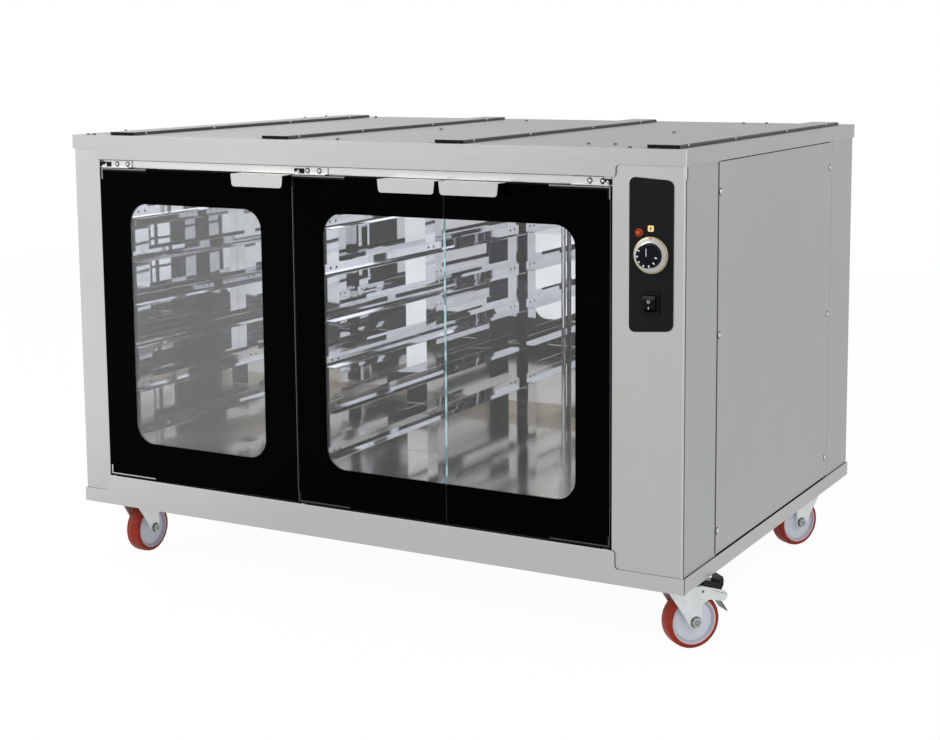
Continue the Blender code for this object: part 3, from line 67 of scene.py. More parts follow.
def add_object(name, data):
    """A new object in the scene."""
    item = bpy.data.objects.new(name, data)
    bpy.context.scene.collection.objects.link(item)
    return item


# %% [markdown]
# ## The camera
#
# The photograph was taken from the front right, a little above the cabinet, with a long lens. Its place
# came from fitting known corners of the cabinet to their pixels. Upright edges stay almost parallel in
# the picture, so the camera is nearly level, and a small vertical shift brings the cabinet to the middle.

# %% Camera
PICTURE_WIDTH = 940
PICTURE_HEIGHT = 740
FOCAL_PIXELS = 1703.3
AXIS_ROW = 266.6
SENSOR = 36.0
CAMERA_PLACE = Vector((1.6833, -3.0065, 1.0389))
CAMERA_YAW = math.radians(29.355)
CAMERA_PITCH = math.radians(7.446)
CAMERA_ROLL = math.radians(-0.472)
CLIP_RANGE = (0.05, 100.0)
UP = Vector((0.0, 0.0, 1.0))


def make_camera():
    """The camera, turned from its yaw, its pitch down and its roll."""
    data = bpy.data.cameras.new("camera")
    data.sensor_fit = "HORIZONTAL"
    data.sensor_width = SENSOR
    data.lens = SENSOR * FOCAL_PIXELS / PICTURE_WIDTH
    data.shift_y = (AXIS_ROW - PICTURE_HEIGHT / 2) / PICTURE_WIDTH
    data.clip_start, data.clip_end = CLIP_RANGE
    level = Vector((-math.sin(CAMERA_YAW), math.cos(CAMERA_YAW), 0.0))
    ahead = level * math.cos(CAMERA_PITCH) - UP * math.sin(CAMERA_PITCH)
    across = Vector((math.cos(CAMERA_YAW), math.sin(CAMERA_YAW), 0.0))
    above = across.cross(ahead)
    right = across * math.cos(CAMERA_ROLL) + above * math.sin(CAMERA_ROLL)
    top = above * math.cos(CAMERA_ROLL) - across * math.sin(CAMERA_ROLL)
    turn = Matrix((right, top, -ahead)).transposed().to_4x4()
    camera = add_object("camera", data)
    camera.matrix_world = Matrix.Translation(CAMERA_PLACE) @ turn
    bpy.context.scene.camera = camera
    return camera


camera = make_camera()
print("camera lens:", round(camera.data.lens, 2), "mm, shift:", round(camera.data.shift_y, 3))

# %% [markdown]
# ## The studio
#
# A white sweep surrounds the cabinet. Steel has no colour of its own to speak of: it shows what stands
# around it, so the sweep is the most important lamp here. For steel and glass it is bright at the left
# and greyer at the right, which is why the left columns look lighter than the right one. Camera rays see
# plain white.

# %% World and lamps
SKY_ENDS = ((-0.70, 1.05), (-0.35, 0.72))
SKY_DIFFUSE = 0.62
FLOOR_SIZE = 9.0
FLOOR_ENDS = ((-1.60, 0.97), (-0.30, 0.65))
FLOOR_GLOW = 0.95
FLOOR_SHADE = 0.06
FLOOR_BOUNCE = 0.70
WHITE = (1.0, 1.0, 1.0, 1.0)
SOFT_BOXES = {
    "key_box": ((-2.4, -3.4, 3.0), (0.0, 0.0, 0.4), (2.6, 2.6), 70.0),
    "fill_box": ((3.4, -1.6, 2.2), (0.3, 0.0, 0.4), (2.4, 2.4), 22.0),
}
BAYS = {"left_bay": ("rack_left", "rack_centre"), "right_bay": ("rack_centre", "rack_right")}
BAY_LIGHT = (0.36, 0.72)
BAY_DROP = 0.006
BAY_POWER = 1.3


def feed(tree, socket, value):
    """Gives an input socket its value: a constant, or another node's output, which is linked."""
    if isinstance(value, bpy.types.NodeSocket):
        tree.links.new(value, socket)
    else:
        socket.default_value = value


def add_node(tree, kind, inputs=None, **settings):
    """A node with its settings, whose inputs are fed by name or by number."""
    node = tree.nodes.new(kind)
    for name, value in settings.items():
        setattr(node, name, value)
    for key, value in (inputs or {}).items():
        feed(tree, node.inputs[key], value)
    return node


def bare_tree(owner):
    """The emptied node tree of a world or a material."""
    owner.use_nodes = True
    owner.node_tree.nodes.clear()
    return owner.node_tree


def seen_directly(tree):
    """Two factors: one for rays from the camera, and one that adds rays from a mirror or clear glass."""
    path = add_node(tree, "ShaderNodeLightPath").outputs
    total = path["Is Camera Ray"]
    for name in ("Is Glossy Ray", "Is Transmission Ray"):
        larger = add_node(tree, "ShaderNodeMath", {0: total, 1: path[name]}, operation="MAXIMUM")
        total = larger.outputs["Value"]
    return path["Is Camera Ray"], total


def split_axes(tree, coordinate):
    """The sockets X, Y and Z of a place."""
    place = add_node(tree, "ShaderNodeTexCoord").outputs[coordinate]
    return add_node(tree, "ShaderNodeSeparateXYZ", {"Vector": place}).outputs


def map_range(tree, value, start, stop, first=0.0, last=1.0, way="LINEAR"):
    """Runs a value that goes from start to stop into one that goes from first to last."""
    ends = {"Value": value, "From Min": start, "From Max": stop, "To Min": first, "To Max": last}
    return add_node(tree, "ShaderNodeMapRange", ends, interpolation_type=way).outputs["Result"]


def graded_level(tree, coordinate, ends):
    """A level that runs along X from one end to the other, each end a place and its level."""
    (start, first), (stop, last) = ends
    return map_range(tree, split_axes(tree, coordinate)["X"], start, stop, first, last, "SMOOTHSTEP")


def mix_shaders(tree, factor, first, second):
    """The first shader where the factor is 0, and the second where it is 1."""
    return add_node(tree, "ShaderNodeMixShader", {"Fac": factor, 1: first, 2: second}).outputs["Shader"]


def background(tree, strength):
    """A white background."""
    inputs = {"Color": WHITE, "Strength": strength}
    return add_node(tree, "ShaderNodeBackground", inputs).outputs["Background"]


def make_sky():
    """White for the camera, graded from left to right for steel and glass, and softer as a lamp."""
    world = bpy.data.worlds.new("studio")
    bpy.context.scene.world = world
    tree = bare_tree(world)
    camera_ray, direct = seen_directly(tree)
    graded = background(tree, graded_level(tree, "Generated", SKY_ENDS))
    mirrored = mix_shaders(tree, direct, background(tree, SKY_DIFFUSE), graded)
    shown = mix_shaders(tree, camera_ray, mirrored, background(tree, 1.0))
    add_node(tree, "ShaderNodeOutputWorld", {"Surface": shown})


def make_floor():
    """A white floor that glows for the camera and still takes the cabinet's shadow."""
    half = FLOOR_SIZE / 2
    corners = [(-half, -half, 0.0), (half, -half, 0.0), (half, half, 0.0), (-half, half, 0.0)]
    mesh = bpy.data.meshes.new("studio_floor")
    mesh.from_pydata(corners, [], [(0, 1, 2, 3)])
    floor = add_object("studio_floor", mesh)
    material = bpy.data.materials.new("studio_floor")
    tree = bare_tree(material)
    bounce, shade = [add_node(tree, "ShaderNodeBsdfDiffuse", {"Color": (grey, grey, grey, 1.0)})
                     for grey in (FLOOR_BOUNCE, FLOOR_SHADE)]
    camera_ray, direct = seen_directly(tree)
    graded = graded_level(tree, "Object", FLOOR_ENDS)
    level = add_node(tree, "ShaderNodeMix", {"Factor": camera_ray, "A": graded, "B": FLOOR_GLOW})
    glow = add_node(tree, "ShaderNodeEmission", {"Strength": level.outputs["Result"]})
    both = add_node(tree, "ShaderNodeAddShader", {0: shade.outputs["BSDF"], 1: glow.outputs["Emission"]})
    shown = mix_shaders(tree, direct, bounce.outputs["BSDF"], both.outputs["Shader"])
    add_node(tree, "ShaderNodeOutputMaterial", {"Surface": shown})
    mesh.materials.append(material)


def add_lamp(name, place, target, size, power):
    """A soft box that faces a target; its size is its width and its height."""
    data = bpy.data.lights.new(name, "AREA")
    data.shape = "RECTANGLE"
    data.size, data.size_y = size
    data.energy = power
    lamp = add_object(name, data)
    lamp.location = place
    lamp.rotation_euler = (Vector(target) - Vector(place)).to_track_quat("-Z", "Y").to_euler()
    return lamp


bpy.context.scene.view_settings.view_transform = "Standard"
make_sky()
make_floor()
for name, facts in SOFT_BOXES.items():
    add_lamp(name, *facts)
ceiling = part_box("chamber_ceiling")[0].z - BAY_DROP
for name, (left, right) in BAYS.items():
    middle = (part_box(left)[1].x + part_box(right)[0].x) / 2
    bay = add_lamp(name, (middle, 0.0, ceiling), (middle, 0.0, 0.0), BAY_LIGHT, BAY_POWER)
    bay.visible_camera = False

# %% [markdown]
# ## How a finish is built
#
# Every finish starts as one shader with fixed numbers. Noise patterns then vary it: a stretched noise is
# the grain of brushed steel, a broad one is the unevenness of a sheet, and a fine one is the skin of
# moulded plastic. All patterns read object coordinates, so they stay on the piece from every side.

# %% Finish helpers
FIELD_ENDS = (0.3, 0.7)
EVEN = (1.0, 1.0, 1.0)
NOISES = {
    "sheet": (2.3, EVEN, 3.0),
    "smear": (9.0, (1.0, 1.0, 2.5), 5.0),
    "wave": (7.0, EVEN, 1.0),
    "skin": (900.0, EVEN, 2.0),
    "cloud": (14.0, EVEN, 3.0),
    "bloom": (5.0, (1.0, 1.0, 0.6), 4.0),
    "haze": (3.0, EVEN, 3.0),
    "bands": (24.0, (0.0, 0.0, 1.0), 1.0),
    "grinding": (160.0, (1.0, 1.0, 0.15), 3.0),
    "zinc_cloud": (55.0, EVEN, 5.0),
    "zinc_gloss": (120.0, EVEN, 3.0),
    "zinc_grain": (260.0, EVEN, 3.0),
    "dust": (70.0, EVEN, 6.0),
    "casting": (420.0, EVEN, 3.0),
    "ripple": (400.0, EVEN, 1.0),
}


def new_finish(name, colour, roughness, metallic=0.0, **fixed):
    """A material with one shader. Other sockets are given by name, with underscores for spaces."""
    material = bpy.data.materials.new(name)
    material.use_nodes = True
    shader = material.node_tree.nodes["Principled BSDF"]
    shader.inputs["Base Color"].default_value = (*colour, 1.0)
    shader.inputs["Roughness"].default_value = roughness
    shader.inputs["Metallic"].default_value = metallic
    for key, value in fixed.items():
        shader.inputs[key.replace("_", " ")].default_value = value
    material.diffuse_color = (*colour, 1.0)
    return material


def noise_field(material, scale, stretch, detail):
    """Noise over the piece's own coordinates; the stretch squeezes it along each axis."""
    tree = material.node_tree
    place = add_node(tree, "ShaderNodeTexCoord").outputs["Object"]
    mapping = add_node(tree, "ShaderNodeMapping", {"Vector": place, "Scale": stretch})
    pattern = {"Vector": mapping.outputs["Vector"], "Scale": scale, "Detail": detail}
    return add_node(tree, "ShaderNodeTexNoise", pattern).outputs["Fac"]


def noise(material, kind):
    """One of the listed noises, each a scale, a stretch and a detail."""
    return noise_field(material, *NOISES[kind])


def drive(material, name, value):
    """Links a value to an input of the material's shader."""
    feed(material.node_tree, material.node_tree.nodes["Principled BSDF"].inputs[name], value)


def tint(material, field, low, high, ends=FIELD_ENDS):
    """Lets the field run the colour from low to high, between two values of the field."""
    tree = material.node_tree
    blend = {"Factor": map_range(tree, field, *ends), "A": (*low, 1.0), "B": (*high, 1.0)}
    drive(material, "Base Color", add_node(tree, "ShaderNodeMix", blend, data_type="RGBA").outputs["Result"])


def roughen(material, field, low, high):
    """Lets the field run the roughness from low to high."""
    drive(material, "Roughness", map_range(material.node_tree, field, *FIELD_ENDS, low, high))


def emboss(material, field, height):
    """Raises the surface with the field, on top of what has been raised before."""
    tree = material.node_tree
    bump = add_node(tree, "ShaderNodeBump", {"Distance": height, "Strength": 1.0, "Height": field})
    for known in tree.nodes["Principled BSDF"].inputs["Normal"].links:
        feed(tree, bump.inputs["Normal"], known.from_socket)
    drive(material, "Normal", bump.outputs["Normal"])


def scaled(colour, factor):
    """A colour times a factor."""
    return tuple(value * factor for value in colour)


print("finish helpers ready")

# %% [markdown]
# ## Steel
#
# The outer sheets have a fine satin grain that runs along each sheet. The grain is a noise that is
# squeezed hundreds of times across the sheet and left long along it. The inside is bright polished sheet:
# almost a mirror, but a sheet is never quite flat, so a slow wave in its normals bends what it reflects.

# %% Steel finishes
GRAIN_ACROSS = 420.0
GRAIN_ALONG = 5.0
GRAIN_DETAIL = 2.0
GRAIN_HEIGHT = 0.00002
SATIN_SPREAD = 0.05
SATIN_STEELS = {
    "cap": ("cap_steel", (0.575, 0.566, 0.562), 0.36, "X"),
    "sill": ("sill_steel", (0.635, 0.625, 0.62), 0.36, "X"),
    "column": ("column_steel", (0.60, 0.60, 0.595), 0.36, "Z"),
    # painted shade: a darker, bluer copy of the column steel for the right column's side face
    "column_side": ("column_side_steel", (0.545, 0.552, 0.552), 0.40, "Z"),
    "side": ("side_steel", (0.56, 0.56, 0.545), 0.40, "Z"),
    "back": ("back_steel", (0.56, 0.56, 0.55), 0.40, "X"),
    "lip": ("lip_steel", (0.62, 0.61, 0.60), 0.34, "X"),
    "bright": ("bright_steel", (0.76, 0.75, 0.74), 0.30, "X"),
    # painted shade: a darker copy of the cap steel for the lid's top faces and the rails' tops
    "lid": ("lid_steel", (0.40, 0.405, 0.42), 0.34, "Y"),
    # painted highlight: a light copy of the steel for strips along folded edges
    "fold": ("folded_edge_steel", (0.72, 0.715, 0.71), 0.34, "Z"),
    # painted shade: a dark copy of the steel for the sides of the rails on the lid
    "rail": ("rail_side_steel", (0.125, 0.112, 0.100), 0.42, "Y"),
    "pan": ("pan_steel", (0.60, 0.56, 0.50), 0.11, "Y"),
    "sheath": ("heater_sheath", (0.30, 0.28, 0.26), 0.45, "X"),
}
POLISHED_STEELS = {
    "liner": ("liner_steel", (0.91, 0.92, 0.94), 0.012, 0.00008),
    "rack": ("rack_steel", (0.86, 0.875, 0.91), 0.022, 0.00004),
    "screw": ("screw_steel", (0.62, 0.62, 0.62), 0.18, 0.00005),
    "dark_screw": ("dark_screw_steel", (0.16, 0.16, 0.16), 0.30, 0.00005),
    "silver": ("ring_silver", (0.62, 0.615, 0.60), 0.18, 0.00002),
    "gold": ("ring_gold", (0.47, 0.43, 0.25), 0.26, 0.00002),
}


def satin_steel(name, colour, roughness, along):
    """Brushed sheet whose grain runs along one axis."""
    material = new_finish(name, colour, roughness, 1.0)
    stretch = [GRAIN_ALONG if axis == along else GRAIN_ACROSS for axis in "XYZ"]
    grain = noise_field(material, 1.0, stretch, GRAIN_DETAIL)
    tint(material, noise(material, "sheet"), scaled(colour, 0.955), scaled(colour, 1.03))
    roughen(material, grain, roughness - SATIN_SPREAD, roughness + SATIN_SPREAD)
    emboss(material, grain, GRAIN_HEIGHT)
    return material


def polished_steel(name, colour, roughness, wave):
    """Bright sheet with a slow unevenness and faint smears."""
    material = new_finish(name, colour, roughness, 1.0)
    smear = noise(material, "smear")
    roughen(material, smear, roughness * 0.7, roughness * 1.9)
    emboss(material, noise(material, "wave"), wave)
    tint(material, smear, scaled(colour, 0.9), colour)
    return material


finish = {}


def make_finishes(maker, table):
    """Makes every finish of a table and files it under its key."""
    for kind, facts in table.items():
        finish[kind] = maker(*facts)


make_finishes(satin_steel, SATIN_STEELS)
make_finishes(polished_steel, POLISHED_STEELS)
print("steel finishes:", sorted(finish))

# %% [markdown]
# ## Glass, plastic, zinc and polyurethane
#
# The door glass is one pane with a black border baked onto it, so there are two finishes on one sheet,
# and a third on the ground edge, which is pale green, glows a little and runs light and dark along its
# length: the glow and the bands are painted light for the light that runs through the length of the glass
# there. Zinc plating is pale and slightly mottled. The treads are cast polyurethane on white nylon
# centres.

# %% Other finishes
SKIN_SPREAD = 0.06
GROUND_ZONE = (0.0012, 0.0022)
BAND_ENDS = (0.44, 0.50)
COARSE, MEDIUM, FINE = 0.00003, 0.00002, 0.00001
USUAL = 0.5
PLASTICS = {
    "frit": ("enamel_back", (0.030, 0.034, 0.044), 0.5, COARSE, 0.2),
    # painted highlight: a grey band round the tread
    "mould_line": ("tread_mould_line", (0.19, 0.125, 0.105), 0.5, COARSE, USUAL),
    # painted shade: a lilac copy of the nylon for the wall of the hub's dish
    "nylon_wall": ("lilac_nylon", (0.57, 0.57, 0.67), 0.42, MEDIUM, USUAL),
    "nylon_rim": ("pale_nylon_rim", (0.80, 0.68, 0.74), 0.40, MEDIUM, USUAL),
    "plate": ("control_plate_black", (0.0080, 0.0084, 0.0096), 0.50, COARSE, 0.12),
    "knob": ("knob_black", (0.0085, 0.0100, 0.0135), 0.34, FINE, 0.05),
    "rocker": ("switch_black", (0.0028, 0.0028, 0.0030), 0.24, FINE, 0.12),
    # painted light: a lighter black for the rocker's faces that look up, as if lit from above
    "lit_brow": ("switch_brow_black", (0.016, 0.017, 0.019), 0.45, FINE, 0.3),
    "housing": ("housing_black", (0.0072, 0.0074, 0.0084), 0.5, COARSE, 0.10),
    # painted shade: black for the door gaps, the sill's return, open rail ends and rings round screw heads;
    # black parts such as the hinge bushes and the rack rivets use it too
    "void": ("seam_black", (0.012, 0.012, 0.012), 0.6, FINE, 0.1),
    # painted shade: grey for shade lines in the seams and under the fascia; the weld lines on the lid use it
    # too
    "seam": ("seam_grey", (0.075, 0.075, 0.075), 0.6, FINE, 0.1),
    "body": ("thermostat_grey", (0.10, 0.10, 0.11), 0.5, COARSE, USUAL),
    "pedal": ("pedal_black", (0.006, 0.009, 0.0085), 0.20, MEDIUM, 0.35),
    "shoe": ("clip_black", (0.004, 0.004, 0.004), 0.35, FINE, 0.1),
    # painted highlights: light, grey and dim copies of the line painted on the black clips
    "bead_light": ("bead_light", (0.62, 0.62, 0.61), 0.4, FINE, USUAL),
    "bead_grey": ("bead_grey", (0.30, 0.30, 0.29), 0.4, FINE, USUAL),
    "bead_dark": ("bead_dark", (0.085, 0.072, 0.060), 0.4, FINE, 0.2),
    "print": ("white_print", (0.80, 0.82, 0.84), 0.5, FINE, USUAL),
    "pointer": ("pointer_print", (0.50, 0.52, 0.56), 0.5, FINE, USUAL),
    "amber_mark": ("amber_mark", (0.30, 0.13, 0.03), 0.5, FINE, USUAL),
}
ZINCS = {
    "zinc": ("zinc", (0.93, 0.955, 0.96)),
    # painted shade: a dark zinc for the rings in the axle's recesses and the line along the brake arm's
    # fold; the arm rivets take it as their dark zinc
    "axle": ("axle_zinc", (0.16, 0.19, 0.18)),
    "bolt": ("bolt_zinc", (0.56, 0.60, 0.60)),
}
LENSES = {
    "red_lens": ("red_lens", (0.62, 0.085, 0.022), 0.20),
    # painted shade: a darker red for the groove of the lamp lens
    "red_well": ("red_well", (0.17, 0.008, 0.002), 0.04),
    "amber_lens": ("amber_lens", (0.95, 0.68, 0.30), 0.34),
    "index": ("index_red", (0.82, 0.17, 0.18), 0.22),
}
BLACK_EDGES = {
    "rim": ("black_glass_edge", (0.38, 0.38, 0.38), (0.012, 0.011, 0.010)),
    # painted shade: a darker copy of the ground edge for the middle door, where it meets the other leaf
    "pair_rim": ("pair_glass_edge", (0.085, 0.083, 0.080), (0.006, 0.006, 0.006)),
}
WINDOWS = {"window": ("door_window", 0.988), "hazy_window": ("hazy_door_window", 0.93)}


def moulded_plastic(name, colour, roughness, grain, shine, **fixed):
    """Plastic with the fine skin of its mould."""
    material = new_finish(name, colour, roughness, Specular_IOR_Level=shine, **fixed)
    skin = noise(material, "skin")
    roughen(material, skin, roughness - SKIN_SPREAD, roughness + SKIN_SPREAD)
    emboss(material, skin, grain)
    tint(material, noise(material, "cloud"), scaled(colour, 0.88), colour)
    return material


def door_enamel():
    """Black enamel behind glass, with the faint bloom that wiping leaves."""
    material = new_finish("door_enamel", (0.0006, 0.0006, 0.0007), 0.06, Specular_IOR_Level=0.014)
    bloom = noise(material, "bloom")
    roughen(material, bloom, 0.04, 0.10)
    tint(material, bloom, (0.0004, 0.0004, 0.0005), (0.0009, 0.0009, 0.0011))
    return material


def door_window(name, clearness):
    """Clear glass with a thin haze of flour dust, which is what its clearness lacks."""
    material = new_finish(name, (0.98, 0.988, 0.995), 0.0, Transmission_Weight=clearness, IOR=1.45,
                          Specular_IOR_Level=0.25)
    roughen(material, noise(material, "haze"), 0.0, 0.002)
    return material


def black_edge(name, colour, dark):
    """The edge of a printed pane: its front corner is ground and light, and the rest of it is dark."""
    material = new_finish(name, colour, 0.35, Specular_IOR_Level=0.2)
    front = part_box("left_door_glass")[0].y
    depth = split_axes(material.node_tree, "Object")["Y"]
    tint(material, depth, colour, dark, [front + place for place in GROUND_ZONE])
    return material


def glass_edge(name, colour, dark, glow):
    """The ground edge of a clear pane, with a painted glow and painted light and dark bands along its
    length.
    """
    material = new_finish(name, colour, 0.25, Specular_IOR_Level=0.4, Emission_Strength=glow,
                          Emission_Color=(*colour, 1.0))
    tint(material, noise(material, "bands"), dark, colour, BAND_ENDS)
    roughen(material, noise(material, "grinding"), 0.18, 0.35)
    return material


def zinc_plate(name, colour):
    """Zinc plated steel, softly mottled."""
    material = new_finish(name, colour, 0.32, 0.75)
    tint(material, noise(material, "zinc_cloud"), scaled(colour, 0.90), colour)
    roughen(material, noise(material, "zinc_gloss"), 0.26, 0.42)
    emboss(material, noise(material, "zinc_grain"), COARSE)
    return material


def cast_tread():
    """Red polyurethane, a little darker where dust has settled."""
    material = new_finish("red_tread", (0.38, 0.031, 0.014), 0.40, Specular_IOR_Level=0.22)
    dust = noise(material, "dust")
    tint(material, dust, (0.31, 0.025, 0.012), (0.44, 0.039, 0.017))
    roughen(material, dust, 0.32, 0.46)
    emboss(material, noise(material, "casting"), 0.00004)
    return material


def lens(name, colour, glow):
    """A coloured lamp lens with a low glow."""
    material = new_finish(name, colour, 0.14, Specular_IOR_Level=0.3, Emission_Strength=glow,
                          Emission_Color=(*colour, 1.0))
    ripple = noise(material, "ripple")
    emboss(material, ripple, COARSE)
    tint(material, ripple, scaled(colour, 0.7), colour)
    return material


make_finishes(moulded_plastic, PLASTICS)
make_finishes(zinc_plate, ZINCS)
make_finishes(lens, LENSES)
make_finishes(black_edge, BLACK_EDGES)
make_finishes(door_window, WINDOWS)
finish["enamel"] = door_enamel()
finish["edge"] = glass_edge("clear_glass_edge", (0.72, 0.92, 0.95), (0.13, 0.33, 0.36), 0.14)
finish["tread"] = cast_tread()
# Painted light: the nylon glows a little, though it is no lamp.
finish["nylon"] = moulded_plastic("white_nylon", (0.70, 0.735, 0.83), 0.38, MEDIUM, USUAL,
                                  Subsurface_Weight=0.12, Emission_Strength=0.07)
print("finishes:", len(finish))

# %% [markdown]
# ## Folded sheet with real edges
#
# A CAD edge is perfectly sharp, but folded and sheared sheet is rounded by about half a millimetre, and
# those edges catch a thin line of light. Each steel node is copied, its loose triangles are welded back
# into flat faces, and a small bevel rounds every edge. The copy stands for its node.

# %% Dressing a node
WELD_DISTANCE = 0.000005
FLAT_ANGLE = math.radians(0.5)
EDGE_ANGLE = math.radians(28.0)
SHEET_EDGE = 0.0005
PANEL_DROP = 0.0020
SQUARE_TO = 0.9
SHELL = {
    "base_frame": "sill", "top_cap": "cap", "left_column": "column", "right_column": "column",
    "left_side_panel": "side", "right_rear_panel": "side", "service_panel": "side", "back_panel": "back",
    "hinge_header": "bright",
}


def keep_mesh(piece):
    """Swaps a piece's mesh for what its modifiers make of it, and drops the modifiers."""
    graph = bpy.context.evaluated_depsgraph_get()
    plain = bpy.data.meshes.new_from_object(piece.evaluated_get(graph))
    piece.modifiers.clear()
    piece.data = plain
    return piece


def soften(piece, width, segments):
    """Rounds a piece's edges and keeps the flat faces between them evenly shaded."""
    bevel = piece.modifiers.new("edges", "BEVEL")
    bevel.width = width
    bevel.segments = segments
    bevel.limit_method = "ANGLE"
    bevel.angle_limit = EDGE_ANGLE
    even = piece.modifiers.new("even", "WEIGHTED_NORMAL")
    even.mode = "FACE_AREA"
    even.weight = 50
    piece.data.shade_smooth()
    return keep_mesh(piece)


def place_piece(name, shape, body, *kinds):
    """Turns a bmesh into a piece of the scene that rides on a body."""
    mesh = bpy.data.meshes.new(name)
    shape.to_mesh(mesh)
    shape.free()
    for kind in kinds:
        mesh.materials.append(finish[kind])
    piece = add_object(name, mesh)
    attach(piece, body)
    return piece


def dress(node, kind, width, ending="sheet", segments=2):
    """A copy of a CAD node with rounded edges and a finish, which stands for the node."""
    shape = bmesh.new()
    shape.from_mesh(nodes[node].data)
    bmesh.ops.remove_doubles(shape, verts=shape.verts, dist=WELD_DISTANCE)
    bmesh.ops.dissolve_limit(shape, angle_limit=FLAT_ANGLE, verts=shape.verts, edges=shape.edges)
    piece = place_piece(f"{node}_{ending}", shape, body_of_node[node], kind)
    soften(piece, width, segments)
    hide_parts(node)
    return piece


def repaint(piece, kind, faces):
    """Gives another finish to the faces that a rule picks out by their middle and their normal."""
    mesh = piece.data
    mesh.materials.append(finish[kind])
    for face in mesh.polygons:
        if faces(face.center, face.normal):
            face.material_index = len(mesh.materials) - 1


def bars(name, body, boxes, kind):
    """Thin boxes, each given by two opposite corners, joined into one piece."""
    shape = bmesh.new()
    for first, second in boxes:
        first, second = Vector(first), Vector(second)
        cube = bmesh.ops.create_cube(shape, size=1.0)["verts"]
        bmesh.ops.scale(shape, vec=second - first, verts=cube)
        bmesh.ops.translate(shape, vec=(first + second) / 2, verts=cube)
    bmesh.ops.recalc_face_normals(shape, faces=shape.faces)
    return place_piece(name, shape, body, kind)


sheets = {node: dress(node, kind, SHEET_EDGE) for node, kind in SHELL.items()}
# Painted shade: the cap's upward faces, the lid, take a darker copy of its steel.
repaint(sheets["top_cap"], "lid", lambda middle, normal: normal.z > SQUARE_TO)
# Painted shade: the faces of the right column that look to the right take the darker copy of its steel.
repaint(sheets["right_column"], "column_side", lambda middle, normal: normal.x > SQUARE_TO)
panel_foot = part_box("service_panel")[0].z
for point in sheets["service_panel"].data.vertices:
    if point.co.z < panel_foot + 2 * SHEET_EDGE:
        point.co.z -= PANEL_DROP
print("dressed:", sorted(sheets))

# %% [markdown]
# ### Painted highlights on folds, painted shade in seams and gaps
#
# The front right corner of the column is a fold, and a light strip along it is a painted highlight where
# the fold catches the light; beside it a dark strip of painted shade marks the seam where the side panel
# tucks in. Painted highlights also run along the top edge of the sill and the right edge of the cap. Lines
# of painted shade run under the fascia and in front of the service panel, and black strips of painted
# shade line the sides and the head of the opening and the sill's return under the doors, so that no
# bright lining shows through the gap beside the doors.

# %% Painted highlights and shade
PROUD = 0.0003
FOLD_BACK = 0.0008
FOLD_HIGHLIGHT_WIDTH = 0.0031
CORNER_SEAM = 0.0028
SEAM_LINE = 0.0012
CAP_LAP = 0.0210
SILL_LAP = 0.0265
CAP_SHADE_LINE = 0.0012
CAP_SWEEP = 0.0130
SILL_FASCIA = 0.0590
SILL_HIGHLIGHT_HEIGHT = 0.0016
SILL_SHADE_DEPTH = 0.0180
HEAD_SHADE_DROP = 0.0050
HEAD_SHADE_CLEAR = 0.0250
SERVICE_SEAM = 0.0045
GAP_SHADE_WIDTH = 0.0052
GAP_SHADE_FRONT = -0.0090
GAP_SHADE_BACK = 0.0010
column_low, column_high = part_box("right_column")
header_low, header_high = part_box("hinge_header")
cap_low, cap_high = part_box("top_cap")
sill_low, sill_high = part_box("base_frame")
service_low, service_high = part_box("service_panel")
base_floor = sill_low.z
fold_x = column_high.x - FOLD_BACK
fascia_top = sill_low.z + SILL_FASCIA
# Painted shade: dark strips where the side sheets tuck in behind the front corner.
corner_shade_boxes = [
    ((high.x, low.y + PROUD, bottom), (high.x + PROUD, low.y + CORNER_SEAM, top))
    for low, high, bottom, top in (
        (column_low, column_high, column_low.z, column_high.z),
        (cap_low, cap_high, cap_low.z + PROUD, cap_low.z + CAP_LAP),
        (sill_low, sill_high, sill_low.z + PROUD, sill_low.z + SILL_LAP))
]
# Each entry is a finish and its boxes: the light strips are painted highlights on folds and edges, the dark
# ones painted shade.
sheet_lines = {
    "corner_fold": ("fold", [((fold_x - FOLD_HIGHLIGHT_WIDTH, column_low.y - PROUD, column_low.z),
                              (fold_x, column_low.y, column_high.z))]),
    "corner_seam": ("seam", corner_shade_boxes),
    "cap_line": ("seam", [((header_low.x, cap_low.y - PROUD, cap_low.z + PROUD),
                           (header_high.x - CAP_SWEEP, cap_low.y, cap_low.z + CAP_SHADE_LINE))]),
    "sill_edge": ("fold", [((header_low.x, sill_low.y - PROUD, fascia_top - SILL_HIGHLIGHT_HEIGHT),
                            (header_high.x, sill_low.y, fascia_top + PROUD))]),
    "sill_seal": ("void", [((header_low.x, sill_low.y + PROUD, fascia_top),
                            (header_high.x, sill_low.y + SILL_SHADE_DEPTH, fascia_top + PROUD))]),
    "cap_fold": ("fold", [((cap_high.x - FOLD_HIGHLIGHT_WIDTH, cap_low.y - PROUD, cap_low.z + PROUD),
                           (cap_high.x - PROUD, cap_low.y, cap_high.z - PROUD))]),
    "service_seam": ("seam", [((service_high.x, service_low.y - SERVICE_SEAM + PROUD, service_low.z),
                               (service_high.x + PROUD, service_low.y + PROUD, service_high.z))]),
}
for name, (kind, boxes) in sheet_lines.items():
    bars(name, "cabinet", boxes, kind)
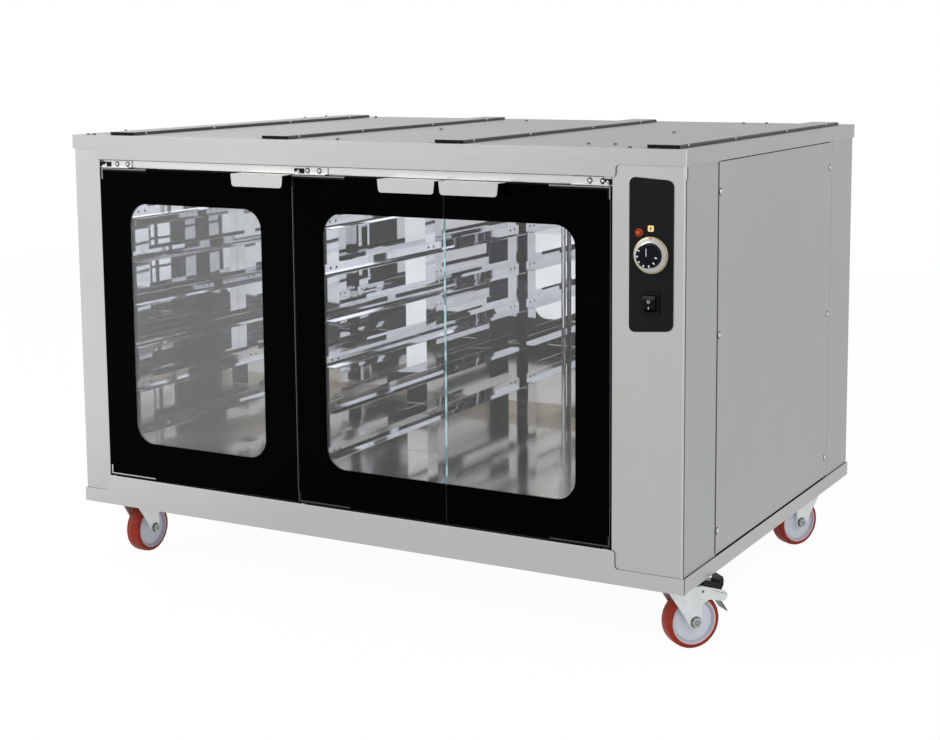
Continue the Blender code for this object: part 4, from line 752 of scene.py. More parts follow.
# Painted shade: black strips line the upright sides and the head of the opening, so that no bright lining
# shows through the gap beside the doors.
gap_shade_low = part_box("left_door_clip_bottom")[0].z
gap_shades = []
gap_shade_top = header_low.z - PROUD
for x, way in ((header_low.x, 1.0), (header_high.x, -1.0)):
    for back, width, front in ((GAP_SHADE_BACK, GAP_SHADE_WIDTH, 0.0), (GAP_SHADE_FRONT, PROUD, PROUD)):
        gap_shades.append(((x, header_low.y + back, gap_shade_low), (x + way * width, header_low.y - front, gap_shade_top)))
left_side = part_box("left_door_glass")[0].x
middle_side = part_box("middle_door_glass")[0].x
right_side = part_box("right_door_glass")[1].x
for start, end in ((left_side + HEAD_SHADE_CLEAR, middle_side - GAP_SHADE_WIDTH),
                   (middle_side + HEAD_SHADE_CLEAR, right_side - HEAD_SHADE_CLEAR)):
    gap_shades.append(((start, header_low.y, header_low.z - HEAD_SHADE_DROP),
                  (end, header_low.y + GAP_SHADE_BACK, gap_shade_top)))
bars("door_seals", "cabinet", gap_shades, "void")
print("column:", rounded(column_low, column_high))
print("header:", rounded(header_low, header_high))

# %% [markdown]
# ## The bright inside
#
# The lining is polished sheet. The walls and the ceiling keep their CAD shape and only take the finish.
# The racks, the floor pan and the stop rod show their cut edges through the glass, so these are rounded
# too.

# %% Lining and racks
RACK_EDGE = 0.0003
COATED = {
    "chamber_left_wall": "liner", "chamber_right_wall": "liner", "chamber_back_wall": "liner",
    "chamber_ceiling": "liner", "heating_element": "sheath", "thermostat_body": "body",
}
for node, kind in COATED.items():
    nodes[node].data.materials.clear()
    nodes[node].data.materials.append(finish[kind])
for node in ("rack_left", "rack_centre", "rack_right", "rear_stop_rod"):
    dress(node, "rack", RACK_EDGE, "polished", segments=1)
dress("floor_pan", "pan", SHEET_EDGE)
print("finish only:", sorted(COATED))

# %% [markdown]
# ## Screws, rivets and bolts with Geometry Nodes
#
# The same small heads repeat all over the cabinet. A mesh of bare points says where they sit, and an
# attribute called facing says which way each one looks. One node tree turns a point into a domed head on
# a thin collar, with a cross cut into it, and turns each cross by a random angle from a fixed seed, as a
# person with a screwdriver would leave it. The same tree makes rivets and hexagon bolts, with other sizes
# and no cross.

# %% Tree helpers


def new_tree(name, inputs):
    """A geometry tree with named inputs and one output, and the sockets that give its inputs."""
    tree = bpy.data.node_groups.new(name, "GeometryNodeTree")
    for label, kind, value in (("Geometry", "Geometry", None), *inputs, ("Finish", "Material", None)):
        socket = tree.interface.new_socket(name=label, in_out="INPUT", socket_type=f"NodeSocket{kind}")
        if value is not None:
            socket.default_value = value
    tree.interface.new_socket(name="Geometry", in_out="OUTPUT", socket_type="NodeSocketGeometry")
    return tree, add_node(tree, "NodeGroupInput").outputs


def product(tree, value, factor):
    """A value times a number."""
    return add_node(tree, "ShaderNodeMath", {0: value, 1: factor}, operation="MULTIPLY").outputs["Value"]


def vector(tree, x, y, z):
    """A vector from three values, each a socket or a number."""
    return add_node(tree, "ShaderNodeCombineXYZ", {"X": x, "Y": y, "Z": z}).outputs["Vector"]


def reshaped(tree, shape, name, value):
    """A shape that is moved, turned or scaled; the name says which."""
    return add_node(tree, "GeometryNodeTransform", {"Geometry": shape, name: value}).outputs["Geometry"]


def choice(tree, switch, off, on):
    """One of two shapes."""
    shapes = {"Switch": switch, "False": off, "True": on}
    return add_node(tree, "GeometryNodeSwitch", shapes).outputs["Output"]


def joined(tree, *shapes):
    """Several shapes as one."""
    join = add_node(tree, "GeometryNodeJoinGeometry")
    for shape in shapes:
        feed(tree, join.inputs["Geometry"], shape)
    return join.outputs["Geometry"]


def spread_on_points(tree, given, shape, rotation):
    """Puts a shape on every point, makes all of them real and gives them their finish."""
    copies = {"Points": given["Geometry"], "Instance": shape, "Rotation": rotation}
    spread = add_node(tree, "GeometryNodeInstanceOnPoints", copies).outputs["Instances"]
    real = add_node(tree, "GeometryNodeRealizeInstances", {"Geometry": spread}).outputs["Geometry"]
    paint = add_node(tree, "GeometryNodeSetMaterial", {"Geometry": real, "Material": given["Finish"]})
    add_node(tree, "NodeGroupOutput", {"Geometry": paint.outputs["Geometry"]})
    return tree


print("tree helpers ready")

# %% The fastener tree
HEAD_RINGS = 8
CROSS_REACH = 1.1
HEXAGON_TAPER = 0.9


def make_fastener_tree():
    """Heads on points: a collar, a dome or a hexagon, and a cross cut into it."""
    tree, given = new_tree("fastener_heads", (
        ("Head radius", "Float", 0.004), ("Head height", "Float", 0.002), ("Collar radius", "Float", 0.005),
        ("Collar height", "Float", 0.0005), ("Sides", "Int", 20), ("Cross width", "Float", 0.001),
        ("Hexagon", "Bool", False), ("Seed", "Int", 1)))
    radius, height, cross = given["Head radius"], given["Head height"], given["Cross width"]
    ball = add_node(tree, "GeometryNodeMeshUVSphere", {
        "Segments": given["Sides"], "Rings": HEAD_RINGS, "Radius": 1.0})
    dome = reshaped(tree, ball.outputs["Mesh"], "Scale", vector(tree, radius, radius, height))
    arm = product(tree, radius, CROSS_REACH)
    arms = []
    for size_x, size_y in ((arm, cross), (cross, arm)):
        bar = add_node(tree, "GeometryNodeMeshCube", {"Size": vector(tree, size_x, size_y, height)})
        arms.append(reshaped(tree, bar.outputs["Mesh"], "Translation", vector(tree, 0.0, 0.0, height)))
    carved = add_node(tree, "GeometryNodeMeshBoolean", {"Mesh 1": dome, "Mesh 2": joined(tree, *arms)},
                      operation="DIFFERENCE").outputs["Mesh"]
    crossed = add_node(tree, "FunctionNodeCompare", {"A": cross, "B": 0.0}, data_type="FLOAT",
                       operation="GREATER_THAN").outputs["Result"]
    prism = add_node(tree, "GeometryNodeMeshCone", {
        "Vertices": 6, "Radius Top": product(tree, radius, HEXAGON_TAPER), "Radius Bottom": radius,
        "Depth": height})
    top = choice(tree, given["Hexagon"], choice(tree, crossed, dome, carved), prism.outputs["Mesh"])
    collar = add_node(tree, "GeometryNodeMeshCylinder", {
        "Vertices": given["Sides"], "Radius": given["Collar radius"],
        "Depth": product(tree, given["Collar height"], 2.0)})

    named = add_node(tree, "GeometryNodeInputNamedAttribute", {"Name": "facing"}, data_type="FLOAT_VECTOR")
    facing = named.outputs["Attribute"]
    align = add_node(tree, "FunctionNodeAlignRotationToVector", {"Vector": facing}, axis="Z")
    draw = {3: math.tau, "Seed": given["Seed"]}
    chance = add_node(tree, "FunctionNodeRandomValue", draw, data_type="FLOAT")
    twist = add_node(tree, "FunctionNodeAxisAngleToRotation", {"Axis": UP, "Angle": chance.outputs[1]})
    turns = {"Rotation": align.outputs["Rotation"], "Rotate By": twist.outputs["Rotation"]}
    turn = add_node(tree, "FunctionNodeRotateRotation", turns, rotation_space="LOCAL").outputs["Rotation"]
    return spread_on_points(tree, given, joined(tree, collar.outputs["Mesh"], top), turn)


fastener_tree = make_fastener_tree()
print("fastener tree:", len(fastener_tree.nodes), "nodes")

# %% Growing heads on points
SMOOTH_ANGLE = math.radians(40.0)


def run_tree(name, mesh, tree, body, **inputs):
    """Runs a tree on a mesh and keeps the result as a plain piece on a body."""
    carrier = add_object(name, mesh)
    modifier = carrier.modifiers.new("grow", "NODES")
    modifier.node_group = tree
    for item in tree.interface.items_tree:
        key = item.name.replace(" ", "_").lower()
        if item.item_type == "SOCKET" and item.in_out == "INPUT" and key in inputs:
            modifier[item.identifier] = inputs[key]
    keep_mesh(carrier)
    carrier.data.name = name
    carrier.data.shade_smooth()
    carrier.data.set_sharp_from_angle(angle=SMOOTH_ANGLE)
    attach(carrier, body)
    return carrier


def fasten(name, body, places, kind, **sizes):
    """Heads at the places, each a point and the way it faces."""
    mesh = bpy.data.meshes.new(name)
    mesh.from_pydata([tuple(point) for point, _ in places], [], [])
    facing = mesh.attributes.new("facing", "FLOAT_VECTOR", "POINT")
    for index, (_, way) in enumerate(places):
        facing.data[index].vector = way
    return run_tree(name, mesh, fastener_tree, body, finish=finish[kind], **sizes)


def head(radius, height, collar_radius, collar_height, cross_width=0.0, seed=1, **more):
    """The sizes of one kind of head, by the names of the tree's inputs."""
    return {"head_radius": radius, "head_height": height, "collar_radius": collar_radius,
            "collar_height": collar_height, "cross_width": cross_width, "seed": seed, **more}


PAN_SCREW = head(0.0050, 0.0030, 0.0052, 0.0005, 0.0011, 3)
# The flat black discs laid under the panel and header screws are painted shade round their heads.
PAN_SCREW_SHADE = head(0.0030, 0.0002, 0.0066, 0.0003, seed=3)
SMALL_SCREW = head(0.0030, 0.0016, 0.0034, 0.0002, 0.0008, 5)
RAIL_SCREW = head(0.0024, 0.0016, 0.0026, 0.0002, 0.0008, 5)
LID_SCREW = head(0.0038, 0.0030, 0.0042, 0.0004, 0.0009, 5)
HEADER_SCREW = head(0.0034, 0.0022, 0.0035, 0.0007, 0.0009, 9)
HEADER_SCREW_SHADE = head(0.0030, 0.0002, 0.0050, 0.0005, seed=9)
RIVET = head(0.0026, 0.0011, 0.0026, 0.0001, sides=12)
HINGE_PIN = head(0.0022, 0.0016, 0.0023, 0.0006, seed=2, sides=16)
PLATE_BOLT = head(0.0062, 0.0048, 0.0078, 0.0008, seed=11, hexagon=True)
FRONT, RIGHT, LEFT, BACK_WAY = (0.0, -1.0, 0.0), (1.0, 0.0, 0.0), (-1.0, 0.0, 0.0), (0.0, 1.0, 0.0)
print("largest head:", PLATE_BOLT)

# %% [markdown]
# ### Where the heads sit
#
# The service panel is held by three screws at each upright edge, and the lid by a few flat ones. The
# slides of the tray racks are riveted to their posts, two rivets at each crossing. Places are counted
# from the boxes of the nodes that the heads sit on.

# %% Screws on the shell
PANEL_SCREW_INSET = 0.0075
REAR_SCREW_INSET = 0.0145
PANEL_SCREW_HEIGHTS = (0.0705, 0.4140, 0.6600)
REAR_SCREW_HEIGHTS = (0.0695, 0.3650, 0.6610)
BACK_SCREW_INSET = 0.012
BACK_SCREW_COLUMNS = 5
LID_SCREWS = (
    (0.599, 0.043), (0.596, 0.423), (0.580, 0.827), (1.085, 0.084), (1.134, 0.086), (1.193, 0.014),
    (1.080, 0.474), (1.075, 0.866), (1.119, 0.884), (0.029, 0.014), (0.039, 0.018), (0.047, 0.012),
    (0.008, 0.150), (0.008, 0.790), (0.008, 0.880), (0.150, 0.880), (0.162, 0.860),
)


def spaced(low, high, inset, count):
    """Places at even steps between two ends, with an inset at each."""
    return [low + inset + (high - low - 2 * inset) * i / (count - 1) for i in range(count)]


panel_places = []
for y, heights in ((service_low.y + PANEL_SCREW_INSET, PANEL_SCREW_HEIGHTS),
                   (service_high.y - REAR_SCREW_INSET, REAR_SCREW_HEIGHTS)):
    panel_places += [(Vector((service_high.x, y, base_floor + height)), RIGHT) for height in heights]
# Painted shade: a flat black disc under each screw.
fasten("service_panel_collars", "cabinet", panel_places, "void", **PAN_SCREW_SHADE)
fasten("service_panel_screws", "cabinet", panel_places, "bright", **PAN_SCREW)
lid_places = [(Vector((cap_low.x + x, cap_low.y + y, cap_high.z)), UP) for x, y in LID_SCREWS]
fasten("lid_screws", "cabinet", lid_places, "dark_screw", **LID_SCREW)
back_low, back_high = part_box("back_panel")
back_places = []
for x in spaced(back_low.x, back_high.x, BACK_SCREW_INSET, BACK_SCREW_COLUMNS):
    for z in (back_low.z + 3 * BACK_SCREW_INSET, back_high.z - 3 * BACK_SCREW_INSET):
        back_places.append((Vector((x, back_high.y, z)), BACK_WAY))
fasten("back_panel_screws", "cabinet", back_places, "screw", **SMALL_SCREW)
print("screws on the shell:", len(panel_places) + len(lid_places) + len(back_places))

# %% Rivets on the racks
SLIDE_FIRST = 0.135
SLIDE_PITCH = 0.0875
SLIDE_COUNT = 6
SLIDE_INSET = 0.030
RIVET_RISE = 0.0105
RIVET_SPREAD = 0.010
SLIDE_LEDGE = 0.021
SLIDE_SHEET = 0.0013
POST_COUNT = 3
RACK_SIDES = {"rack_left": (RIGHT,), "rack_centre": (LEFT, RIGHT), "rack_right": (LEFT,)}


def rack_rivets(node, sides):
    """Two rivets at each crossing of a slide and a post, on the leg of the slide that shows."""
    low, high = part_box(node)
    places = []
    for way in sides:
        face_x = high.x - SLIDE_LEDGE + SLIDE_SHEET if way == RIGHT else low.x + SLIDE_LEDGE - SLIDE_SHEET
        for y in spaced(low.y, high.y, SLIDE_INSET, POST_COUNT):
            for level in range(SLIDE_COUNT):
                z = base_floor + SLIDE_FIRST + SLIDE_PITCH * level + RIVET_RISE
                for offset in (-RIVET_SPREAD, RIVET_SPREAD):
                    places.append((Vector((face_x, y + offset, z)), way))
    fasten(f"{node}_rivets", "cabinet", places, "void", **RIVET)
    print(node, "rivets:", len(places))


for node, sides in RACK_SIDES.items():
    rack_rivets(node, sides)

# %% [markdown]
# ## The doors
#
# Each pane is drawn again as one outline with notches for its hinge clips. The black border is everything
# between that outline and a window with round corners. In the pair of doors on the right, the window runs
# on across the gap, so it is open on the side where the two leaves meet. The border and the window share
# their edge, which keeps the pane closed.

# %% Panes
WINDOW_RADIUS = 0.039
WINDOW_STEPS = 14
WINDOW_TOP = 0.066
WINDOW_BOTTOM = 0.072
BLOCK_LONG = 0.0185
BLOCK_DEEP = 0.0045
CLIP_WRAP = 0.0018
DOORS = {"left": (1.0, 0.072, False), "middle": (1.0, 0.066, True), "right": (-1.0, 0.066, True)}
ENAMEL, CLEAR, GREEN_EDGE, BARE_RIM, FRIT = range(5)


def corner_arc(centre, radius, start, steps):
    """A quarter circle that begins at an angle and turns to the left."""
    points = []
    for i in range(steps + 1):
        angle = start + math.pi / 2 * i / steps
        points.append((centre[0] + radius * math.cos(angle), centre[1] + radius * math.sin(angle)))
    return points


def window_outline(inner, outer, low, high, way, open_edge):
    """The window's outline; an open edge keeps its two corners square."""
    outline = []
    for x, z, start in ((inner, low, math.pi), (outer, low, 1.5 * math.pi), (outer, high, 0.0),
                        (inner, high, 0.5 * math.pi)):
        if x == outer and open_edge:
            outline.append((x, z))
            continue
        inward_x = way if x == inner else -way
        inward_z = 1.0 if z == low else -1.0
        centre = (x + inward_x * WINDOW_RADIUS, z + inward_z * WINDOW_RADIUS)
        quarter = corner_arc((0.0, 0.0), WINDOW_RADIUS, start, WINDOW_STEPS)
        outline += [(centre[0] + way * a, centre[1] + b) for a, b in quarter]
    return outline


def make_pane(door, way, border, open_edge):
    """A pane with a black border, a clear window and ground edges."""
    node = f"{door}_door_glass"
    low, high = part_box(node)
    hinge, free = (low.x, high.x) if way > 0 else (high.x, low.x)
    block = hinge + way * BLOCK_LONG
    window_low = low.z + WINDOW_BOTTOM
    window_high = high.z - WINDOW_TOP
    outline = [
        (hinge, low.z + BLOCK_DEEP), (block, low.z + BLOCK_DEEP), (block, low.z), (free, low.z),
        (free, window_low), (free, window_high),
        (free, high.z), (block, high.z), (block, high.z - BLOCK_DEEP), (hinge, high.z - BLOCK_DEEP),
    ]
    inner = hinge + way * (border - CLIP_WRAP)
    outer = free if open_edge else free - way * border
    window = window_outline(inner, outer, window_low, window_high, way, open_edge)
    if open_edge:
        at = outline.index((free, window_low))
        split = window.index((free, window_low))
        round_way = list(reversed(window[split + 2:] + window[:split]))
        loops = [outline[:at + 1] + round_way + outline[at + 1:]]
    else:
        loops = [outline, window]
    shape = bmesh.new()
    flat = [point for loop in loops for point in loop]
    triangles = tessellate_polygon([[Vector((x, z, 0.0)) for x, z in loop] for loop in loops])
    for y in (low.y, high.y):
        verts = [shape.verts.new((x, y, z)) for x, z in flat]
        for corners in triangles:
            shape.faces.new([verts[i] for i in corners]).material_index = FRIT if y == high.y else ENAMEL
        shape.faces.new([shape.verts.new((x, y, z)) for x, z in window]).material_index = CLEAR
    for here, after in zip(outline, outline[1:] + outline[:1]):
        rim = [(here, low.y), (after, low.y), (after, high.y), (here, high.y)]
        through = open_edge and here[0] == after[0] == free and here[1] == window_low
        bare = here[0] == after[0] == (hinge if door == "right" else free)
        ground = shape.faces.new([shape.verts.new((x, y, z)) for (x, z), y in rim])
        ground.material_index = GREEN_EDGE if through else BARE_RIM if bare else ENAMEL
    bmesh.ops.remove_doubles(shape, verts=shape.verts, dist=WELD_DISTANCE)
    bmesh.ops.recalc_face_normals(shape, faces=shape.faces)
    loose = sum(len(edge.link_faces) != 2 for edge in shape.edges)
    clear = "hazy_window" if door == "left" else "window"
    # The middle door's bare edge takes the darker copy, painted shade in the gap between the leaves.
    bare_rim = "pair_rim" if door == "middle" else "rim"
    pane = place_piece(f"{door}_door_pane", shape, f"{door}_door", "enamel", clear, "edge",
                       bare_rim, "frit")
    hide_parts(node)
    print(door, "pane faces:", len(pane.data.polygons), "open edges:", loose)


for door, facts in DOORS.items():
    make_pane(door, *facts)

# %% [markdown]
# ### Clips, lips and hinge brackets
#
# Black shoes hold the glass at the hinge corners, each with a thin line in the shape of an L painted on
# it, lighter on some clips than on others, a painted highlight where its edge catches the light, and a
# folded lip on the top edge is the handle. The brackets of the upper hinges are held to the header by two
# bright screws, each with a dark disc of painted shade round its head, and a black bush with a bright pin
# sits beside them.

# %% Door metal
CLIP_EDGE = 0.0003
LIP_EDGE = 0.0004
HIGHLIGHT_RISE = {"top": (0.0004, 0.0024), "bottom": (0.0036, 0.0056)}
HIGHLIGHT_SIDE = {"left": (0.0036, 0.0064), "middle": (0.0010, 0.0026), "right": (0.0010, 0.0030)}
HIGHLIGHT_LONG = 0.1145
HIGHLIGHT_TALL = 0.0215
BOTTOM_HIGHLIGHTS = {"left": "bead_light", "middle": "bead_dark", "right": "bead_dark"}
BRACKET_SCREWS = (0.104, 0.1300, 0.554, 0.580, 1.1225, 1.1466)
BRACKET_SCREW_HEIGHT = 0.6845
BRACKET_SHEET = 0.0023
BUSH_LENGTH = 0.0215
BUSH_HALF = 0.0045
BUSH_DEPTH = 0.0012
BUSH_DROP = 0.00105
PIN_IN = 0.0095


def paint_clip_highlight(door, way, end):
    """The painted highlight on a clip: a bar along the edge of the pane, and a short one where its hinge
    side shows.
    """
    low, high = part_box(f"{door}_door_clip_{end}")
    hinge = low.x if way > 0 else high.x
    edge, inwards = (high.z, -1.0) if end == "top" else (low.z, 1.0)
    near, far = HIGHLIGHT_RISE[end]
    side_near, side_far = HIGHLIGHT_SIDE[door]
    spans = [(HIGHLIGHT_LONG, near, far)]
    if (door, end) != ("middle", "top"):
        spans.append((side_far, far + PROUD, HIGHLIGHT_TALL))
    boxes = [((hinge + way * side_near, low.y - PROUD, edge + inwards * start),
              (hinge + way * reach, low.y + PROUD, edge + inwards * stop)) for reach, start, stop in spans]
    kind = "bead_grey" if end == "top" else BOTTOM_HIGHLIGHTS[door]
    bars(f"{door}_bead_{end}", f"{door}_door", boxes, kind)


bracket_face = header_low.y - BRACKET_SHEET
screw_z = base_floor + BRACKET_SCREW_HEIGHT
bush_z = screw_z - BUSH_DROP
bushes = []
pins = []
for door, (way, _, _) in DOORS.items():
    for end in ("top", "bottom"):
        dress(f"{door}_door_clip_{end}", "shoe", CLIP_EDGE, "shoe")
        paint_clip_highlight(door, way, end)
    dress(f"{door}_door_handle", "lip", LIP_EDGE, "lip")
    dress(f"hinge_bracket_{door}", "bright", CLIP_EDGE, "angle")
    low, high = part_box(f"{door}_door_clip_top")
    hinge = low.x if way > 0 else high.x
    bushes.append(((hinge + way * PROUD, bracket_face - BUSH_DEPTH, bush_z - BUSH_HALF),
                   (hinge + way * BUSH_LENGTH, bracket_face, bush_z + BUSH_HALF)))
    pins.append((Vector((hinge + way * PIN_IN, bracket_face - BUSH_DEPTH, bush_z)), FRONT))
header_places = [(Vector((sill_low.x + x, bracket_face, screw_z)), FRONT) for x in BRACKET_SCREWS]
# Painted shade: a flat black disc under each screw.
fasten("header_collars", "cabinet", header_places, "void", **HEADER_SCREW_SHADE)
fasten("header_screws", "cabinet", header_places, "bright", **HEADER_SCREW)
bars("hinge_bushes", "cabinet", bushes, "void")
fasten("hinge_pins", "cabinet", pins, "bright", **HINGE_PIN)
print("header screws:", len(header_places), "bracket face:", round(bracket_face, 4))

# %% [markdown]
# ## The rails on the lid
#
# The oven stands on four low channels. Their tops take the lid's finish, their sides take a dark copy of
# the steel as painted shade, and black painted shade fills their open front ends. A row of small screws
# shows along each side.

# %% Rails
RAIL_EDGE = 0.0003
RAIL_SCREW_SHARES = (0.045, 0.30, 0.62, 0.90)
RAIL_END = 0.0025
WELD_LINE = 0.012
STEEP = 0.5
rail_places = []
rail_ends = []
weld_lines = []
for i in range(1, 5):
    node = f"top_rail_{i}"
    channel = dress(node, "lid", RAIL_EDGE, "channel")
    # Painted shade: both sides of each channel take the dark copy of its steel.
    repaint(channel, "rail", lambda middle, normal: abs(normal.x) > STEEP)
    low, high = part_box(node)
    rail_ends.append(((low.x, low.y - PROUD, low.z), (high.x, low.y + RAIL_END, high.z - PROUD)))
    weld_lines.append(((low.x - WELD_LINE, low.y, cap_high.z),
                       (low.x - PROUD, low.y + SEAM_LINE, cap_high.z + PROUD)))
    for share in RAIL_SCREW_SHARES:
        y = low.y + (high.y - low.y) * share
        for x, way in ((high.x, RIGHT), (low.x, LEFT)):
            rail_places.append((Vector((x, y, (low.z + high.z) / 2)), way))
# Black painted shade fills the open front end of each channel.
bars("rail_mouths", "cabinet", rail_ends, "void")
bars("rail_welds", "cabinet", weld_lines, "seam")
fasten("rail_screws", "cabinet", rail_places, "screw", **RAIL_SCREW)
print("rail screws:", len(rail_places))

# %% [markdown]
# ## Turned pieces
#
# Knobs, rings, lenses and wheels are all made by turning a profile about an axis. One helper does that:
# each point of the profile is a radius and a place along the axis, and the helper closes the skin at the
# axis.

# %% Turning helper


def turned(profile, sides):
    """A closed profile of (radius, place along the axis) turned about Z, as a bmesh."""
    shape = bmesh.new()
    rings = []
    for radius, along in profile:
        if radius == 0.0:
            rings.append([shape.verts.new((0.0, 0.0, along))] * sides)
            continue
        ring = []
        for i in range(sides):
            angle = math.tau * i / sides
            ring.append(shape.verts.new((radius * math.cos(angle), radius * math.sin(angle), along)))
        rings.append(ring)
    for first, second in zip(rings, rings[1:] + rings[:1]):
        if first[0] is first[1] and second[0] is second[1]:
            continue
        for j in range(sides):
            k = (j + 1) % sides
            corners = list(dict.fromkeys((first[j], first[k], second[k], second[j])))
            shape.faces.new(corners)
    bmesh.ops.recalc_face_normals(shape, faces=shape.faces)
    return shape


def finished(shape, name, body, place, kind):
    """Moves a bmesh to its place and makes it a smooth piece on a body."""
    bmesh.ops.transform(shape, matrix=place, verts=shape.verts)
    piece = place_piece(name, shape, body, kind)
    piece.data.shade_smooth()
    piece.data.set_sharp_from_angle(angle=SMOOTH_ANGLE)
    return piece


TOWARDS_FRONT = Matrix.Rotation(math.pi / 2, 4, "X")


def on_front(x, y, z):
    """A frame at a point, whose Z looks out of the cabinet's front."""
    return Matrix.Translation((x, y, z)) @ TOWARDS_FRONT


print("turning helper ready")

# %% [markdown]
# ## The controls
#
# A matte black plate carries the thermostat, a red lamp, an amber lens and the switch. The knob is black,
# with a white pointer and seven ticks on its face, and turns in a broad silver ring with a pale gold
# edge. The ticks repeat round the face, so a small node tree instances a wedge on the points of an arc.

# %% Plate, ring and knob
PLATE_EDGE = 0.0004
PLATE_TAPER = (0.0050, 0.0060)
PLATE_CORNER = 0.020
KNOB_CHAMFER = 0.0012
CHAMFER_TURN = 0.3
SHAFT_RADIUS = 0.003
RING_CLEARANCE = 0.0006
GOLD_WIDTH = 0.0027
DIAL_SIDES = 72
panel = dress("control_plate", "plate", PLATE_EDGE, "panel")
plate_low, plate_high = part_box("control_plate")
for point in panel.data.vertices:
    share = (point.co.x - plate_low.x) / (plate_high.x - plate_low.x)
    if point.co.z > plate_high.z - PLATE_CORNER:
        point.co.z -= PLATE_TAPER[0] * share
    if point.co.z < plate_low.z + PLATE_CORNER:
        point.co.z += PLATE_TAPER[1] * share
knob_low, knob_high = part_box("thermostat_knob")
ring_low, ring_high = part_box("thermostat_ring")
KNOB_X = (knob_low.x + knob_high.x) / 2
KNOB_Z = (knob_low.z + knob_high.z) / 2
KNOB_FACE = knob_low.y
KNOB_RADIUS = (knob_high.x - knob_low.x) / 2
PLATE_FRONT = ring_high.y
KNOB_DEPTH = PLATE_FRONT - KNOB_FACE
SHAFT_LENGTH = knob_high.y - PLATE_FRONT
RING_RADIUS = (ring_high.x - ring_low.x) / 2
RING_DEPTH = ring_high.y - ring_low.y
RING_BORE = KNOB_RADIUS + RING_CLEARANCE
GOLD_START = RING_RADIUS - GOLD_WIDTH


def on_plate(x, z):
    """A frame on the control plate, given by its place beside and above the knob's axis."""
    return on_front(KNOB_X + x, PLATE_FRONT, KNOB_Z + z)


def dial_piece(profile, name, body, kind):
    """A ring or a knob about the dial's axis."""
    return finished(turned(profile, DIAL_SIDES), name, body, on_plate(0.0, 0.0), kind)


knob = dial_piece([
    (0.0, -SHAFT_LENGTH), (SHAFT_RADIUS, -SHAFT_LENGTH), (SHAFT_RADIUS, 0.0), (KNOB_RADIUS, 0.0),
    (KNOB_RADIUS, KNOB_DEPTH - KNOB_CHAMFER),
    (KNOB_RADIUS - KNOB_CHAMFER * CHAMFER_TURN, KNOB_DEPTH - KNOB_CHAMFER * CHAMFER_TURN),
    (KNOB_RADIUS - KNOB_CHAMFER, KNOB_DEPTH), (0.0, KNOB_DEPTH),
], "knob_body", "knob", "knob")
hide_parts("thermostat_knob")
ring = dial_piece([(radius, RING_DEPTH * share) for radius, share in (
    (RING_BORE, 0.0), (RING_BORE, 0.88), (RING_BORE + 0.0005, 1.0), (RING_BORE + 0.0012, 1.0),
    (RING_BORE + 0.0018, 0.90), (RING_BORE + 0.0030, 0.84), (GOLD_START, 0.66), (GOLD_START, 0.0),
)], "dial_ring", "cabinet", "silver")
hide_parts("thermostat_ring")
dial_piece([(radius, RING_DEPTH * share) for radius, share in (
    (GOLD_START, 0.0), (GOLD_START, 0.60), (RING_RADIUS - 0.0008, 0.42), (RING_RADIUS, 0.18),
    (RING_RADIUS, 0.0),
)], "dial_ring_edge", "cabinet", "gold")
print("knob centre:", round(KNOB_X, 4), round(KNOB_Z, 4), "radius", round(KNOB_RADIUS, 4))

# %% Dial ticks with Geometry Nodes
TICK_COUNT = 7
TICK_START = math.radians(148.0)
TICK_SWEEP = math.radians(206.0)
TICK_RADIUS = 0.0149
TICK_LENGTH = 0.0040
TICK_WIDTH = 0.0031
PRINT_HEIGHT = 0.00015
TICK_TAPER = {"Vertices": 4, "Radius Top": 0.35, "Radius Bottom": 0.72, "Depth": 1.0}


def make_tick_tree():
    """Wedges that point outwards on the points of an arc about Z."""
    tree, given = new_tree("dial_ticks", (
        ("Tick length", "Float", 0.004), ("Tick width", "Float", 0.002), ("Tick height", "Float", 0.0002)))
    wedge = add_node(tree, "GeometryNodeMeshCone", TICK_TAPER).outputs["Mesh"]
    for turn in ((0.0, 0.0, math.pi / 4), (0.0, math.pi / 2, 0.0)):
        wedge = reshaped(tree, wedge, "Rotation", turn)
    size = vector(tree, given["Tick length"], given["Tick width"], given["Tick height"])
    wedge = reshaped(tree, wedge, "Scale", size)
    outwards = add_node(tree, "GeometryNodeInputPosition").outputs["Position"]
    align = add_node(tree, "FunctionNodeAlignRotationToVector", {"Vector": outwards}, axis="X",
                     pivot_axis="Z")
    return spread_on_points(tree, given, wedge, align.outputs["Rotation"])


tick_points = bpy.data.meshes.new("dial_ticks")
angles = [TICK_START + TICK_SWEEP * i / (TICK_COUNT - 1) for i in range(TICK_COUNT)]
places = [(TICK_RADIUS * math.cos(angle), TICK_RADIUS * math.sin(angle), 0.0) for angle in angles]
tick_points.from_pydata(places, [], [])
ticks = run_tree("dial_ticks", tick_points, make_tick_tree(), "knob", finish=finish["print"],
                 tick_length=TICK_LENGTH, tick_width=TICK_WIDTH, tick_height=2 * PRINT_HEIGHT)
ticks.data.transform(on_front(KNOB_X, KNOB_FACE, KNOB_Z))
ticks.data.update()
print("ticks:", TICK_COUNT, "faces:", len(ticks.data.polygons))

# %% Pointer, lenses and index
POINTER_LENGTH = 0.0130
POINTER_WIDTH = 0.0020
POINTER_LEFT = -0.0006
POINTER_SHIFT = 0.0065
POINTER_CORNER = 0.0008
LENS_PLACE = (-0.021, 0.0365)
LENS_RADIUS = 0.0066
LENS_WELL = (0.48, 0.80)
LENS_SIDES = 40
AMBER_RISE = 0.0440
AMBER_HALF = 0.0050
AMBER_RADIUS = 0.0016
AMBER_DEPTH = 0.0009
AMBER_SUNK = 0.0003
AMBER_MARK = (0.26, 0.56)
AMBER_MARK_RADIUS = 0.0004
MARK_SUNK = 0.0002
MARK_PROUD = 0.0001
INDEX_RADIUS = 0.0022
INDEX_SIDES = 20


